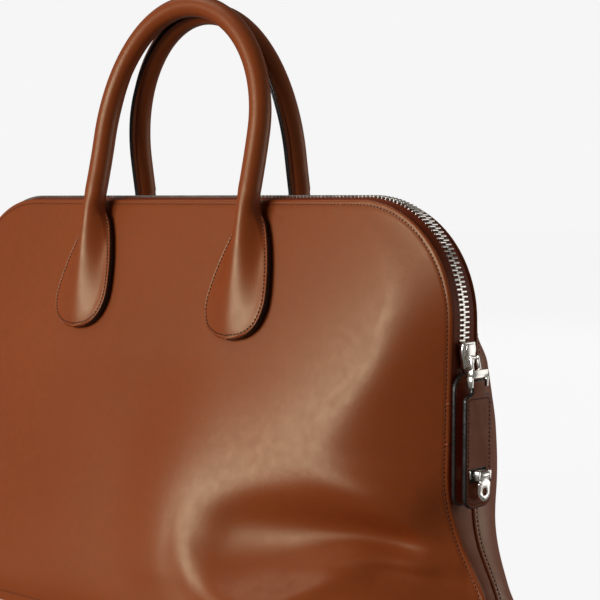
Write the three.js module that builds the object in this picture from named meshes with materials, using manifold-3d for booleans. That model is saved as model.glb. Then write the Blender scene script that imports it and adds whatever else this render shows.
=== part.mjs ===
// A soft leather bowling bag: two body panels joined over the top and down the ends by a
// zip, a boat-shaped base, two rolled handles with paddle ends, and a clasp on the zip pull.
// Millimetres. X runs along the bag, -Y is its front, Z is up, and it stands on z = 0.

import * as THREE from 'three';
import { mergeVertices } from 'three/addons/utils/BufferGeometryUtils.js';
import Module from 'manifold-3d';

const wasm = await Module();
wasm.setup();

// Body sizes
const TOP = 263;
const TOP_CORNER = 68;
const HALF_WIDTH = 218;
const WALL = 2;
const GAP = 0.3;
const FOOT = 0.8;
const FRONT_SLOPE = 0.317;
const SEAM_HALF = 12;

// Plan sections of the body, one row for each level
const LEVELS = [
  { up: 0, wide: 240, deep: 91, seam: 5, corner: 96, crown: 0, soft: 1 },
  { up: 18, wide: 243.5, deep: 89.6, seam: 5, corner: 94, crown: 1, soft: 1 },
  { up: 40, wide: 236.8, deep: 83, seam: 5.5, corner: 76, crown: 3, soft: 0.3 },
  { up: 70, wide: 222, deep: 73.2, seam: 7.5, corner: 84, crown: 4, soft: 0.35 },
  { up: 98, wide: 216.2, deep: 64.3, seam: 11, corner: 80, crown: 4, soft: 0.2 },
  { up: 130, wide: 216.8, deep: 54.2, seam: 12, corner: 64, crown: 2, soft: 0.05 },
  { up: 165, wide: 217.4, deep: 43.1, seam: 12, corner: 46, crown: 0, soft: 0 },
  { up: 195, wide: 218, deep: 33.6, seam: 12, corner: 40, crown: 0, soft: 0 },
  { up: 263, wide: 218, deep: 12, seam: 12, corner: 32, crown: 0, soft: 0 },
];
const END_DROP = 0.2;
const CREASE = 0.5;

// The back panel is rounder than the front and stands more upright
const BACK_LEVELS = [
  { up: 0, deep: 91, corner: 180, soft: 1 },
  { up: 18, deep: 87.5, corner: 150, soft: 1 },
  { up: 40, deep: 78, corner: 150, soft: 1 },
  { up: 70, deep: 78, corner: 90, soft: 1 },
  { up: 98, deep: 76, corner: 54, soft: 1 },
  { up: 130, deep: 64, corner: 40, soft: 1 },
  { up: 150, deep: 52, corner: 31, soft: 1 },
  { up: 170, deep: 41.5, corner: 27, soft: 1 },
  { up: 195, deep: 33.6, corner: 34, soft: 0.1 },
  { up: 263, deep: 12, corner: 32, soft: 0 },
];
const FRONT_SLOPED = 100;
const BACK_SLOPED = 170;

// Broad dents and swells of the front panel, one row for each
const FOLDS = [
  { x: 160, up: 58, turn: -4, left: 72, right: 104, below: 33, above: 26, out: -10 },
  { x: 201, up: 92, turn: -16, left: 46, right: 15, below: 15, above: 13, out: 6.5 },
  { x: 218, up: 36, turn: 10, left: 56, right: 30, below: 28, above: 20, out: -6 },
  { x: 60, up: 75, turn: 102, left: 42, right: 66, below: 34, above: 36, out: 5 },
  { x: 100, up: 56, turn: 0, left: 16, right: 60, below: 30, above: 26, out: -2.2 },
];

// Creases that run along the front panel, one row for each place along them
const TROUGH = [
  { x: 56, up: 62, out: 0, above: 16, below: 22 },
  { x: 84, up: 68, out: -1, above: 16, below: 22 },
  { x: 104, up: 73, out: -3, above: 16, below: 24 },
  { x: 124, up: 75, out: -5, above: 15, below: 26 },
  { x: 145, up: 74, out: -7, above: 14, below: 20 },
  { x: 170, up: 71.5, out: -8.5, above: 13, below: 11 },
  { x: 190, up: 67, out: -9, above: 11, below: 8 },
  { x: 206, up: 62, out: -6.5, above: 9, below: 6 },
  { x: 222, up: 57, out: 0, above: 8, below: 6 },
];
const LIP = [
  { x: 130, up: 56, out: 0, above: 8, below: 8 },
  { x: 150, up: 58, out: 0.5, above: 8, below: 8 },
  { x: 170, up: 61, out: 2, above: 8, below: 7 },
  { x: 190, up: 60.5, out: 5.5, above: 8, below: 7 },
  { x: 206, up: 59, out: 8.5, above: 8, below: 7 },
  { x: 216, up: 57, out: 5.5, above: 7, below: 6 },
  { x: 226, up: 54, out: 0, above: 7, below: 6 },
];
const UNDER_LIP = [
  { x: 130, up: 45, out: 0, above: 8, below: 8 },
  { x: 150, up: 48, out: -2, above: 8, below: 8 },
  { x: 170, up: 52, out: -4, above: 8, below: 8 },
  { x: 190, up: 53, out: -6.5, above: 8, below: 8 },
  { x: 208, up: 52, out: -4, above: 8, below: 8 },
  { x: 225, up: 50, out: 0, above: 7, below: 7 },
];
const LOW_RIM = [
  { x: 60, up: 62, out: 0, above: 14, below: 14 },
  { x: 72, up: 54, out: 1.5, above: 14, below: 14 },
  { x: 86, up: 41, out: 3, above: 15, below: 14 },
  { x: 110, up: 28, out: 7.5, above: 15, below: 14 },
  { x: 137, up: 32, out: 8.5, above: 13, below: 12 },
  { x: 153, up: 40, out: 6.5, above: 10, below: 10 },
  { x: 170, up: 47.5, out: 3.5, above: 8, below: 8 },
  { x: 186, up: 49, out: 0, above: 7, below: 8 },
];
const CREASES = [TROUGH, LIP, UNDER_LIP, LOW_RIM];
const FOLD_POWER = 1.2;
const FOLD_LOW = 15;
const FOLD_FULL = 42;

// Zip sizes
const TAPE = 1.2;
const TAPE_LEVEL = 2.5;
const ZIP_LIFT = 3;
const CHAIN_WIDTH = 9.2;
const CHAIN_RISE = 0.4;
const ZIP_END = 160;
const GUSSET = 1.4;
const GUSSET_LAP = 0.6;
const EDGE_CLEAR = 3.6;

// Handle sizes
const HANDLE_X = 71.4;
const TUBE_R = 6.9;
const RIDGE = 2.4;
const RIDGE_TOP = 0.5;
const RIDGE_HALF = 1.7;
const ARCH = {
  front: { straight: 42, apex: 124.2, away: 24.2, lean: -0.272, curl: 0.00089 },
  back: { straight: 28, apex: 120.4, away: 24.3, lean: -0.1825, curl: 0.00056 },
};

// Paddle end of a handle, one row for each distance down the panel from its top edge
const PADDLE = [
  { down: 0, half: 7, top: 18.5, open: 0 },
  { down: 9, half: 9.6, top: 17.8, open: 0.5 },
  { down: 16, half: 13, top: 16.8, open: 0.85 },
  { down: 31, half: 18, top: 14.8, open: 1 },
  { down: 47, half: 22.5, top: 12.4, open: 1 },
  { down: 65, half: 25.2, top: 10, open: 1 },
  { down: 76, half: 23.4, top: 8.2, open: 1 },
  { down: 84, half: 18, top: 6.6, open: 1 },
  { down: 88.5, half: 9.5, top: 5.4, open: 1 },
];
const PADDLE_LOW = 2.4;
const PADDLE_EDGE = 2.4;
const BULGE_HALF = 9;
const BACKING = 1.7;
const BACKING_TOP = 10;
const BACKING_HALF = 12.5;

// Tabs and hardware at the right end
const TAB_X = 218.2;
const TAB_THICK = 2.6;
const TAB_HALF = 13;
const TAB_LOW = 91;
const TAB_HIGH = 166;
const PULL_X = 225;
const PULL_THICK = 3;
const PULL_HALF = 12.2;
const PULL_LOW = 90;
const PULL_HIGH = 154;
const NECK_HALF = 6.4;
const NECK_HIGH = 162.4;
const CLASP_UP = 108.8;
const CLASP_X = 230.8;
const HEAD_HALF = 6;
const HEAD_RISE = 2.6;
const PIN_R = 0.9;
const BARREL_R = 2;
const BARREL_BORE = 1.3;
const BARREL_HALF = 4;
const TONGUE_HALF = 5.3;
const TONGUE_LENGTH = 14.6;
const TONGUE_THICK = 1.7;
const TONGUE_HOLE = 2.2;

// Materials, one for each kind of surface
const LEATHER = { color: 0x82442a, roughness: 0.5, metalness: 0 };
const TAPE_CLOTH = { color: 0x3c1712, roughness: 0.85, metalness: 0 };
const NICKEL = { color: 0xd7d0c6, roughness: 0.25, metalness: 1 };

// Smooth reading of a table's column, with `key` as the sorted column
function read(table, key, column, at) {
  const last = table.length - 1;
  let i = 0;
  while (i < last - 1 && table[i + 1][key] < at) i += 1;
  const slope = (k) => {
    const a = table[Math.max(k - 1, 0)];
    const b = table[Math.min(k + 1, last)];
    return (b[column] - a[column]) / (b[key] - a[key]);
  };
  const step = table[i + 1][key] - table[i][key];
  const t = (at - table[i][key]) / step;
  const lift = t * t * (3 - 2 * t);
  const start = t * (1 - t) * (1 - t) * step * slope(i);
  const end = t * t * (t - 1) * step * slope(i + 1);
  return table[i][column] * (1 - lift) + table[i + 1][column] * lift + start + end;
}

// Straight reading of a table's column
function readStraight(table, key, column, at) {
  let i = 0;
  while (i < table.length - 2 && table[i + 1][key] < at) i += 1;
  const t = (at - table[i][key]) / (table[i + 1][key] - table[i][key]);
  return THREE.MathUtils.lerp(table[i][column], table[i + 1][column], t);
}

// Plan section of the body at one level, towards its front or its back
function section(up, towardsBack = false) {
  const corner = TOP - TOP_CORNER;
  const rise = Math.min(Math.max(up - corner, 0), TOP_CORNER);
  const arc = HALF_WIDTH - TOP_CORNER + Math.sqrt(TOP_CORNER * TOP_CORNER - rise * rise);
  const wide = up > corner ? arc : read(LEVELS, 'up', 'wide', up);
  const seam = read(LEVELS, 'up', 'seam', up);
  const table = towardsBack ? BACK_LEVELS : LEVELS;
  const sloped = SEAM_HALF + FRONT_SLOPE * (TOP - up);
  const deep = up > (towardsBack ? BACK_SLOPED : FRONT_SLOPED) ? sloped : read(table, 'up', 'deep', up);
  const crown = up > 165 ? 0 : read(LEVELS, 'up', 'crown', up);
  const soft = THREE.MathUtils.clamp(read(table, 'up', 'soft', up), 0, 1);
  return { wide, seam, bulge: Math.max(deep - seam, 0), corner: read(table, 'up', 'corner', up), crown, soft };
}

// The end of a section from its crease to the rim: a flat flank where the panel is creased,
// an elliptic curve where it is soft
function endAcross(q, soft) {
  return THREE.MathUtils.lerp(q, Math.sin((q * Math.PI) / 2), soft);
}

function endOut(q, s) {
  const rest = 1 - END_DROP;
  const flat = s.wide - s.corner;
  const lean = (4 * END_DROP * s.corner * THREE.MathUtils.lerp(1, Math.PI / 2, s.soft)) / (flat * rest);
  const bend = (Math.hypot(q, CREASE) - CREASE) / (Math.hypot(1, CREASE) - CREASE);
  const flank = rest * (1 - THREE.MathUtils.lerp(bend, q, lean));
  return THREE.MathUtils.lerp(flank, Math.cos((q * Math.PI) / 2), s.soft);
}

// How far a crease pushes the front panel out at a place on it
function creaseOut(crease, x, up) {
  if (x <= crease[0].x || x >= crease[crease.length - 1].x) return 0;
  const off = up - read(crease, 'x', 'up', x);
  const reach = read(crease, 'x', off > 0 ? 'above' : 'below', x);
  return read(crease, 'x', 'out', x) * Math.exp(-((off / reach) ** 2));
}

// How far all the folds push the front panel out at a place on it
function foldOut(x, up) {
  let out = CREASES.reduce((sum, crease) => sum + creaseOut(crease, x, up), 0);
  for (const fold of FOLDS) {
    const turn = THREE.MathUtils.degToRad(fold.turn);
    const dx = x - fold.x;
    const dz = up - fold.up;
    const along = dx * Math.cos(turn) + dz * Math.sin(turn);
    const across = dz * Math.cos(turn) - dx * Math.sin(turn);
    const far = along / (along < 0 ? fold.left : fold.right);
    const high = across / (across < 0 ? fold.below : fold.above);
    out += fold.out * Math.exp(-((far * far + high * high) ** FOLD_POWER));
  }
  return out;
}

const STRAIGHT_PART = 0.5;

// A place on the front panel: `side` runs from -1 to 1 between its end edges
function frontPlace(side, up, folded) {
  const s = section(up, !folded);
  const t = Math.abs(side);
  const flat = s.wide - s.corner;
  const point = new THREE.Vector3();
  if (t <= STRAIGHT_PART) {
    const u = t / STRAIGHT_PART;
    const front = s.bulge * (1 - END_DROP * (1 - s.soft) * u ** 4) + s.crown * (1 - u * u) ** 2;
    point.set(flat * u, -s.seam - front, up);
  } else {
    const q = (t - STRAIGHT_PART) / (1 - STRAIGHT_PART);
    point.set(flat + s.corner * endAcross(q, s.soft), -s.seam - s.bulge * endOut(q, s), up);
  }
  point.x *= Math.sign(side);
  if (folded) {
    const hold = (1 - t ** 16) * THREE.MathUtils.smoothstep(up, FOLD_LOW, FOLD_FULL);
    point.y -= foldOut(point.x, up) * hold;
  }
  return point;
}

const PANEL_COLUMNS = 36;
const PANEL_LOW_ROWS = 12;
const PANEL_TOP_ROWS = 7;
const PANEL_ROWS = PANEL_LOW_ROWS + PANEL_TOP_ROWS;

// Level of a row of the panels: even below the top corners, then by the corner's angle
function rowLevel(row) {
  const corner = TOP - TOP_CORNER;
  if (row <= PANEL_LOW_ROWS) return THREE.MathUtils.lerp(FOOT, corner, row / PANEL_LOW_ROWS);
  const angle = ((row - PANEL_LOW_ROWS) / PANEL_TOP_ROWS) * (Math.PI / 2);
  return corner + TOP_CORNER * Math.sin(angle);
}

// Outward normal of the front panel, from its neighbouring places
function frontNormal(column, row, folded) {
  const place = (c, r) => {
    const side = THREE.MathUtils.clamp(c / PANEL_COLUMNS, 0, 1) * 2 - 1;
    return frontPlace(side, rowLevel(THREE.MathUtils.clamp(r, 0, PANEL_ROWS)), folded);
  };
  const along = place(column + 1, row).sub(place(column - 1, row));
  const rise = place(column, row + 1).sub(place(column, row - 1));
  return along.cross(rise).normalize();
}

// Gives a geometry's vertices new places, and turns its faces out
function reshape(geometry, place) {
  geometry.deleteAttribute('uv');
  geometry.deleteAttribute('normal');
  const merged = mergeVertices(geometry, 1e-5);
  const position = merged.getAttribute('position');
  for (let i = 0; i < position.count; i += 1) {
    const p = place(position.getX(i), position.getY(i), position.getZ(i));
    position.setXYZ(i, p.x, p.y, p.z);
  }
  turnOut(merged);
  merged.computeVertexNormals();
  return merged;
}

function turnOut(geometry) {
  const index = geometry.getIndex();
  const position = geometry.getAttribute('position');
  const corner = (i) => new THREE.Vector3().fromBufferAttribute(position, index.getX(i));
  let volume = 0;
  for (let i = 0; i < index.count; i += 3) {
    volume += corner(i).dot(corner(i + 1).cross(corner(i + 2)));
  }
  if (volume > 0) return;
  for (let i = 0; i < index.count; i += 3) {
    const second = index.getX(i + 1);
    index.setX(i + 1, index.getX(i + 2));
    index.setX(i + 2, second);
  }
}

// A body panel: a box of one cell's thickness, bent to the panel's form
function panelGeometry(facing) {
  const box = new THREE.BoxGeometry(2, 1, 1, PANEL_COLUMNS, 1, PANEL_ROWS);
  const folded = facing < 0;
  return reshape(box, (x, y, z) => {
    const row = Math.round((z + 0.5) * PANEL_ROWS);
    const column = Math.round(((x + 1) / 2) * PANEL_COLUMNS);
    const p = frontPlace(x, rowLevel(row), folded);
    if (y > 0) p.addScaledVector(frontNormal(column, row, folded), -WALL);
    p.y *= -facing;
    return p;
  });
}

// How far the panels' edges have turned to face the front and the back, at a level
function edgeTurn(up) {
  let row = PANEL_ROWS;
  while (row > 0 && rowLevel(row) > up) row -= 1;
  const turn = (at) => Math.max(
    Math.abs(frontNormal(PANEL_COLUMNS, at, false).y),
    Math.abs(frontNormal(PANEL_COLUMNS, at, true).y),
  );
  const low = turn(row);
  const high = turn(row + 1);
  const span = Math.max(rowLevel(row + 1) - rowLevel(row), 1e-6);
  return THREE.MathUtils.lerp(low, high, Math.min((up - rowLevel(row)) / span, 1));
}

// The rim is the line between the panels, up one end, over the top and down the other.
// `t` runs from 0 at the right end's level `from` to 1 at the left end's.
function rimPlace(t, from) {
  const side = t < 0.5 ? 1 : -1;
  const corner = TOP - TOP_CORNER;
  const lengths = [corner - from, (TOP_CORNER * Math.PI) / 2, HALF_WIDTH - TOP_CORNER];
  let along = Math.min(t, 1 - t) * 2 * (lengths[0] + lengths[1] + lengths[2]);
  if (along <= lengths[0]) {
    const up = from + along;
    const slope = (section(up + 1).wide - section(up - 1).wide) / 2;
    const normal = new THREE.Vector3(1, 0, -slope).normalize();
    normal.x *= side;
    return { point: new THREE.Vector3(side * section(up).wide, 0, up), normal };
  }
  along -= lengths[0];
  if (along <= lengths[1]) {
    const angle = along / TOP_CORNER;
    const normal = new THREE.Vector3(side * Math.cos(angle), 0, Math.sin(angle));
    const centre = new THREE.Vector3(side * (HALF_WIDTH - TOP_CORNER), 0, corner);
    return { point: centre.addScaledVector(normal, TOP_CORNER), normal };
  }
  along -= lengths[1];
  const x = side * (HALF_WIDTH - TOP_CORNER - along);
  return { point: new THREE.Vector3(x, 0, TOP), normal: new THREE.Vector3(0, 0, 1) };
}

// A strip along the rim, between two levels under it and two distances from the middle.
// It stands proud of the panels along the top, by all of the lift or at its near edge only.
function rimStrip(from, steps, near, far, shallow, deep, farLift) {
  const box = new THREE.BoxGeometry(1, 1, 1, steps, 1, 1);
  return reshape(box, (x, y, z) => {
    const rim = rimPlace(x + 0.5, from);
    const lift = ZIP_LIFT * THREE.MathUtils.smoothstep(rim.normal.z, 0.2, 0.95) * (y > 0 ? farLift : 1);
    const point = rim.point.clone().addScaledVector(rim.normal, lift - (z > 0 ? shallow : deep));
    point.y = y > 0 ? far(rim.point.z) : near(rim.point.z);
    return point;
  });
}

function tapeGeometry(facing) {
  const inner = () => facing * (CHAIN_WIDTH / 2 + GAP);
  const outer = (up) => facing * (SEAM_HALF + 1 - EDGE_CLEAR * edgeTurn(Math.min(up, TOP - 0.01)));
  return rimStrip(ZIP_END + GAP, 48, inner, outer, TAPE_LEVEL, TAPE_LEVEL + TAPE, 0);
}

function chainGeometry() {
  const half = CHAIN_WIDTH / 2;
  return rimStrip(ZIP_END + GAP, 48, () => -half, () => half, CHAIN_RISE, TAPE_LEVEL + TAPE, 1);
}

// A gusset: the strip under the panels' end edges, from the base to the end of the zip
function gussetGeometry(side) {
  let rows = 1;
  while (rowLevel(rows) < ZIP_END) rows += 1;
  const box = new THREE.BoxGeometry(1, 2, 1, 1, 2, rows);
  return reshape(box, (x, y, z) => {
    const up = Math.min(rowLevel(Math.round((z + 0.5) * rows)), ZIP_END);
    const s = section(up);
    const under = TAPE_LEVEL + (x > 0 ? 0 : GUSSET);
    const half = s.seam + GUSSET_LAP - EDGE_CLEAR * edgeTurn(up);
    return new THREE.Vector3(side * (s.wide - under), y * half, up);
  });
}

const BASE_TURNS = 64;

// A place on the plan outline of the body, `turn` steps round from the right end
function outlinePlace(turn, up, inset) {
  const quarter = BASE_TURNS / 4;
  const quadrant = Math.floor(turn / quarter);
  const s = section(up, quadrant < 2);
  const part = turn % quarter;
  const q = quadrant % 2 === 0 ? part : quarter - part;
  const cornerSteps = quarter - 6;
  const point = new THREE.Vector2(s.wide, 0);
  const normal = new THREE.Vector2(1, 0);
  if (q > 0 && q <= cornerSteps) {
    const angle = (1 - (q - 1) / (cornerSteps - 1)) * (Math.PI / 2);
    point.set(s.wide - s.corner + s.corner * Math.sin(angle), s.seam + s.bulge * Math.cos(angle));
    normal.set(Math.sin(angle) / s.corner, Math.cos(angle) / s.bulge).normalize();
  } else if (q > cornerSteps) {
    const u = 1 - (q - cornerSteps) / (quarter - cornerSteps);
    point.set((s.wide - s.corner) * u, s.seam + s.bulge);
    normal.set(0, 1);
  }
  const nearGusset = point.y < s.seam + 4 ? GUSSET + GAP : 0;
  point.addScaledVector(normal, -inset - nearGusset);
  if (quadrant === 1 || quadrant === 2) point.x *= -1;
  if (quadrant > 1) point.y *= -1;
  return new THREE.Vector3(point.x, point.y, up);
}

// Rings of the base from its outside to its inside, one row for each
const BASE_RINGS = [
  { up: 0, inset: 6.6 },
  { up: 3, inset: 3.3 },
  { up: 14, inset: 3.4 },
  { up: 14, inset: 5.4 },
  { up: 4, inset: 5.9 },
];
const BASE_FLOOR = 2.5;

function baseGeometry() {
  const profile = [new THREE.Vector2(0, 0)];
  BASE_RINGS.forEach((ring, i) => profile.push(new THREE.Vector2(1, i)));
  profile.push(new THREE.Vector2(0, BASE_RINGS.length));
  const lathe = new THREE.LatheGeometry(profile, BASE_TURNS);
  return reshape(lathe, (x, y, z) => {
    const ring = Math.round(y);
    if (Math.hypot(x, z) < 0.5) return new THREE.Vector3(0, 0, ring === 0 ? 0 : BASE_FLOOR);
    const angle = (Math.atan2(x, z) / (2 * Math.PI) + 1) % 1;
    const row = BASE_RINGS[ring];
    const place = outlinePlace(Math.round(angle * BASE_TURNS) % BASE_TURNS, row.up, row.inset);
    if (ring === BASE_RINGS.length - 1) place.z = BASE_FLOOR;
    return place;
  });
}

// Handle sections have sixteen points, from the side that faces the bag round to its front.
// Each half runs from the middle of the ridge to the middle of the front.
const TUBE_ANGLES = [-90, -78, -72, -36, 0, 22.5, 45, 67.5, 90];
const BULGE_SHAPE = [
  { across: 1.15, rise: 0 },
  { across: 0.92, rise: 0.38 },
  { across: 0.7, rise: 0.72 },
  { across: 0.38, rise: 0.93 },
  { across: 0, rise: 1 },
];

function tubePoint(k, ridge) {
  const angle = THREE.MathUtils.degToRad(TUBE_ANGLES[k]);
  if (k === 0) return new THREE.Vector2(0, -TUBE_R - ridge);
  if (k === 1) return new THREE.Vector2(RIDGE_HALF, -TUBE_R - ridge);
  return new THREE.Vector2(TUBE_R * Math.cos(angle), TUBE_R * Math.sin(angle));
}

function paddlePoint(k, half, top) {
  const flange = PADDLE_LOW + PADDLE_EDGE;
  if (k <= 2) return new THREE.Vector2((half * k) / 2, PADDLE_LOW);
  if (k === 3) return new THREE.Vector2(half, flange);
  const shape = BULGE_SHAPE[k - 4];
  const across = Math.min(BULGE_HALF, half * 0.8) * shape.across;
  return new THREE.Vector2(across, flange + (top - flange) * shape.rise);
}

const ARCH_STEPS = 16;
const LEG_STEPS = 3;

// Rows of a handle from its right paddle's end, over the arch, to its left paddle's end
function handleRows(arch) {
  const half = [];
  for (let i = PADDLE.length - 1; i >= 0; i -= 1) half.push({ paddle: PADDLE[i] });
  for (let i = 1; i <= LEG_STEPS; i += 1) half.push({ rise: (arch.straight * i) / LEG_STEPS, angle: 0 });
  const rows = half.map((row) => ({ ...row, side: 1 }));
  for (let i = 1; i < ARCH_STEPS; i += 1) rows.push({ angle: (Math.PI * i) / ARCH_STEPS, side: 1 });
  half.reverse().forEach((row) => rows.push({ ...row, side: -1 }));
  return rows;
}

// Frame of one row: its centre, the way across the tube and the way out of the bag
function handleFrame(row, arch) {
  const slope = new THREE.Vector3(0, FRONT_SLOPE, 1).normalize();
  const outward = new THREE.Vector3(0, -1, FRONT_SLOPE).normalize();
  if (row.paddle) {
    const centre = new THREE.Vector3(row.side * HANDLE_X, -SEAM_HALF, TOP);
    centre.addScaledVector(slope, -row.paddle.down);
    return { centre, across: new THREE.Vector3(row.side, 0, 0), outward };
  }
  const up = row.rise ?? arch.straight + (arch.apex - arch.straight) * Math.sin(row.angle);
  const x = row.rise ? row.side * HANDLE_X : HANDLE_X * Math.cos(row.angle);
  const centre = new THREE.Vector3(x, -(arch.away + arch.lean * up + arch.curl * up * up), TOP + up);
  const turn = -(arch.lean + 2 * arch.curl * up);
  outward.set(0, -1, turn).normalize();
  const angle = row.rise ? (row.side > 0 ? 0 : Math.PI) : row.angle;
  const run = new THREE.Vector3(
    -HANDLE_X * Math.sin(angle), 0, (arch.apex - arch.straight) * Math.cos(angle));
  run.y = turn * run.z;
  const across = run.cross(outward).normalize();
  return { centre, across, outward };
}

function handlePoint(row, index, arch) {
  const mirrored = index > 8;
  const k = mirrored ? 16 - index : index;
  const frame = handleFrame(row, arch);
  const climb = Math.max(0, frame.centre.z - TOP) / arch.apex;
  const ridge = THREE.MathUtils.lerp(RIDGE, RIDGE_TOP, THREE.MathUtils.smoothstep(climb, 0.45, 0.85));
  let point = tubePoint(k, ridge);
  if (row.paddle) {
    const axis = PADDLE[0].top - TUBE_R;
    point.y += axis - (PADDLE[0].top - row.paddle.top);
    point.lerp(paddlePoint(k, row.paddle.half, row.paddle.top), row.paddle.open);
  }
  const across = mirrored ? -point.x : point.x;
  return frame.centre.clone().addScaledVector(frame.across, across).addScaledVector(frame.outward, point.y);
}

// A handle: a closed cylinder whose rings take the sections above
function handleGeometry(facing, arch) {
  const rows = handleRows(arch);
  const cylinder = new THREE.CylinderGeometry(1, 1, 1, 16, rows.length - 1);
  return reshape(cylinder, (x, y, z) => {
    const row = rows[Math.round((0.5 - y) * (rows.length - 1))];
    const place = new THREE.Vector3();
    if (Math.hypot(x, z) < 0.5) {
      for (let k = 0; k < 16; k += 1) place.addScaledVector(handlePoint(row, k, arch), 1 / 16);
    } else {
      const turn = (Math.atan2(x, z) / (2 * Math.PI) + 1) % 1;
      place.copy(handlePoint(row, Math.round(turn * 16) % 16, arch));
    }
    place.y *= -facing;
    return place;
  });
}

// Outline of a backing: a round top of its own, then just inside the paddle
function backingGeometry() {
  const inside = 0.6;
  const right = [];
  for (let i = 0; i <= 4; i += 1) {
    const angle = (i / 4) * (Math.PI / 2);
    const down = BACKING_TOP + BACKING_HALF * (1 - Math.cos(angle));
    right.push(new THREE.Vector2(BACKING_HALF * Math.sin(angle), -down));
  }
  for (const row of PADDLE) {
    if (row.down > BACKING_TOP + BACKING_HALF) {
      right.push(new THREE.Vector2(row.half - inside, -row.down));
    }
  }
  const left = right.slice(1).reverse().map((p) => new THREE.Vector2(-p.x, p.y));
  const shape = new THREE.Shape([...right, ...left]);
  return new THREE.ExtrudeGeometry(shape, { depth: BACKING, bevelEnabled: false });
}

// A rounded upright outline in the plane of a tab, with Y across and Z up
function roundedOutline(half, low, high, lowRadius, highRadius) {
  const shape = new THREE.Shape();
  shape.moveTo(-half + lowRadius, low);
  shape.lineTo(half - lowRadius, low);
  shape.absarc(half - lowRadius, low + lowRadius, lowRadius, -Math.PI / 2, 0, false);
  shape.lineTo(half, high - highRadius);
  shape.absarc(half - highRadius, high - highRadius, highRadius, 0, Math.PI / 2, false);
  shape.lineTo(-half + highRadius, high);
  shape.absarc(-half + highRadius, high - highRadius, highRadius, Math.PI / 2, Math.PI, false);
  shape.lineTo(-half, low + lowRadius);
  shape.absarc(-half + lowRadius, low + lowRadius, lowRadius, Math.PI, Math.PI * 1.5, false);
  return shape;
}

function rectangle(half, low, high) {
  const shape = new THREE.Path();
  shape.moveTo(-half, low);
  shape.lineTo(-half, high);
  shape.lineTo(half, high);
  shape.lineTo(half, low);
  return shape;
}

// Extrudes an outline drawn with Y across and Z up, from x to x + thick
function uprightPlate(shape, x, thick, segments = 5) {
  const plate = new THREE.ExtrudeGeometry(shape, { depth: thick, bevelEnabled: false, curveSegments: segments });
  const turn = new THREE.Matrix4().set(0, 0, 1, x, 1, 0, 0, 0, 0, 1, 0, 0, 0, 0, 0, 1);
  return plate.applyMatrix4(turn);
}

function block(x0, x1, y0, y1, z0, z1) {
  const box = new THREE.BoxGeometry(x1 - x0, y1 - y0, z1 - z0);
  return box.translate((x0 + x1) / 2, (y0 + y1) / 2, (z0 + z1) / 2);
}

function bar(radius, y0, y1, x, z, sides) {
  const cylinder = new THREE.CylinderGeometry(radius, radius, y1 - y0, sides);
  return cylinder.translate(x, (y0 + y1) / 2, z);
}

function toSolid(geometry) {
  const plain = geometry.clone();
  plain.deleteAttribute('uv');
  plain.deleteAttribute('normal');
  const merged = mergeVertices(plain, 1e-4);
  const vertProperties = new Float32Array(merged.getAttribute('position').array);
  const triVerts = new Uint32Array(merged.getIndex().array);
  return new wasm.Manifold(new wasm.Mesh({ numProp: 3, vertProperties, triVerts }));
}

function toGeometry(solid) {
  const mesh = solid.getMesh();
  const geometry = new THREE.BufferGeometry();
  geometry.setAttribute('position', new THREE.BufferAttribute(new Float32Array(mesh.vertProperties), 3));
  geometry.setIndex(new THREE.BufferAttribute(new Uint32Array(mesh.triVerts), 1));
  geometry.computeVertexNormals();
  return geometry;
}

function join(...geometries) {
  return toGeometry(geometries.map(toSolid).reduce((a, b) => a.add(b)));
}

function cut(geometry, ...tools) {
  return toGeometry(tools.map(toSolid).reduce((a, b) => a.subtract(b), toSolid(geometry)));
}

// The slider: a shield-shaped plate over the teeth, with a bridge along its middle
function sliderGeometry() {
  const low = 168;
  const high = 184;
  const face = TAB_X + 3.6;
  const shield = new THREE.Shape();
  shield.moveTo(-4.6, low);
  shield.lineTo(4.6, low);
  shield.lineTo(6.3, high - 5);
  shield.lineTo(5.2, high - 1);
  shield.lineTo(-5.2, high - 1);
  shield.lineTo(-6.3, high - 5);
  const plate = uprightPlate(shield, TAB_X - 0.3, face - TAB_X + 0.3);
  const bridge = block(face - 0.5, face + 4.4, -1.7, 1.7, low + 1.5, high - 3);
  const hole = block(face + 0.01, face + 2.9, -3, 3, low + 4, high - 5.5);
  return join(plate, cut(bridge, hole));
}

// The fork: a yoke with a pin under the slider's bridge, and two prongs beside the neck
function forkGeometry() {
  const face = TAB_X + 3.6;
  const pin = bar(PIN_R, -4, 4, face + 1.5, 174.4, 10);
  const arms = [-1, 1].map((s) => block(
    face + 0.4, face + 2.7, Math.min(s * 2.2, s * 4), Math.max(s * 2.2, s * 4), 164, 176));
  const head = block(face + 0.4, PULL_X + 3.6, -9.6, 9.6, 163, 166.6);
  const prongs = [-1, 1].map((s) => block(
    PULL_X - 0.4, PULL_X + 3.6, Math.min(s * 7, s * 9.6), Math.max(s * 7, s * 9.6), 155, 164));
  return join(head, pin, ...arms, ...prongs);
}

// The pull: a strap with a narrow neck at its top and a slot for the staple
function pullTabGeometry() {
  const body = uprightPlate(roundedOutline(PULL_HALF, PULL_LOW, PULL_HIGH, 7, 5), PULL_X, PULL_THICK);
  const neck = block(PULL_X, PULL_X + PULL_THICK, -NECK_HALF, NECK_HALF, PULL_HIGH - 3, NECK_HIGH);
  const slot = block(PULL_X - 2, PULL_X + PULL_THICK + 2, -HEAD_HALF - 0.4, HEAD_HALF + 0.4,
    CLASP_UP - HEAD_RISE - 0.4, CLASP_UP + HEAD_RISE + 0.4);
  return cut(join(body, neck), slot);
}

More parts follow.
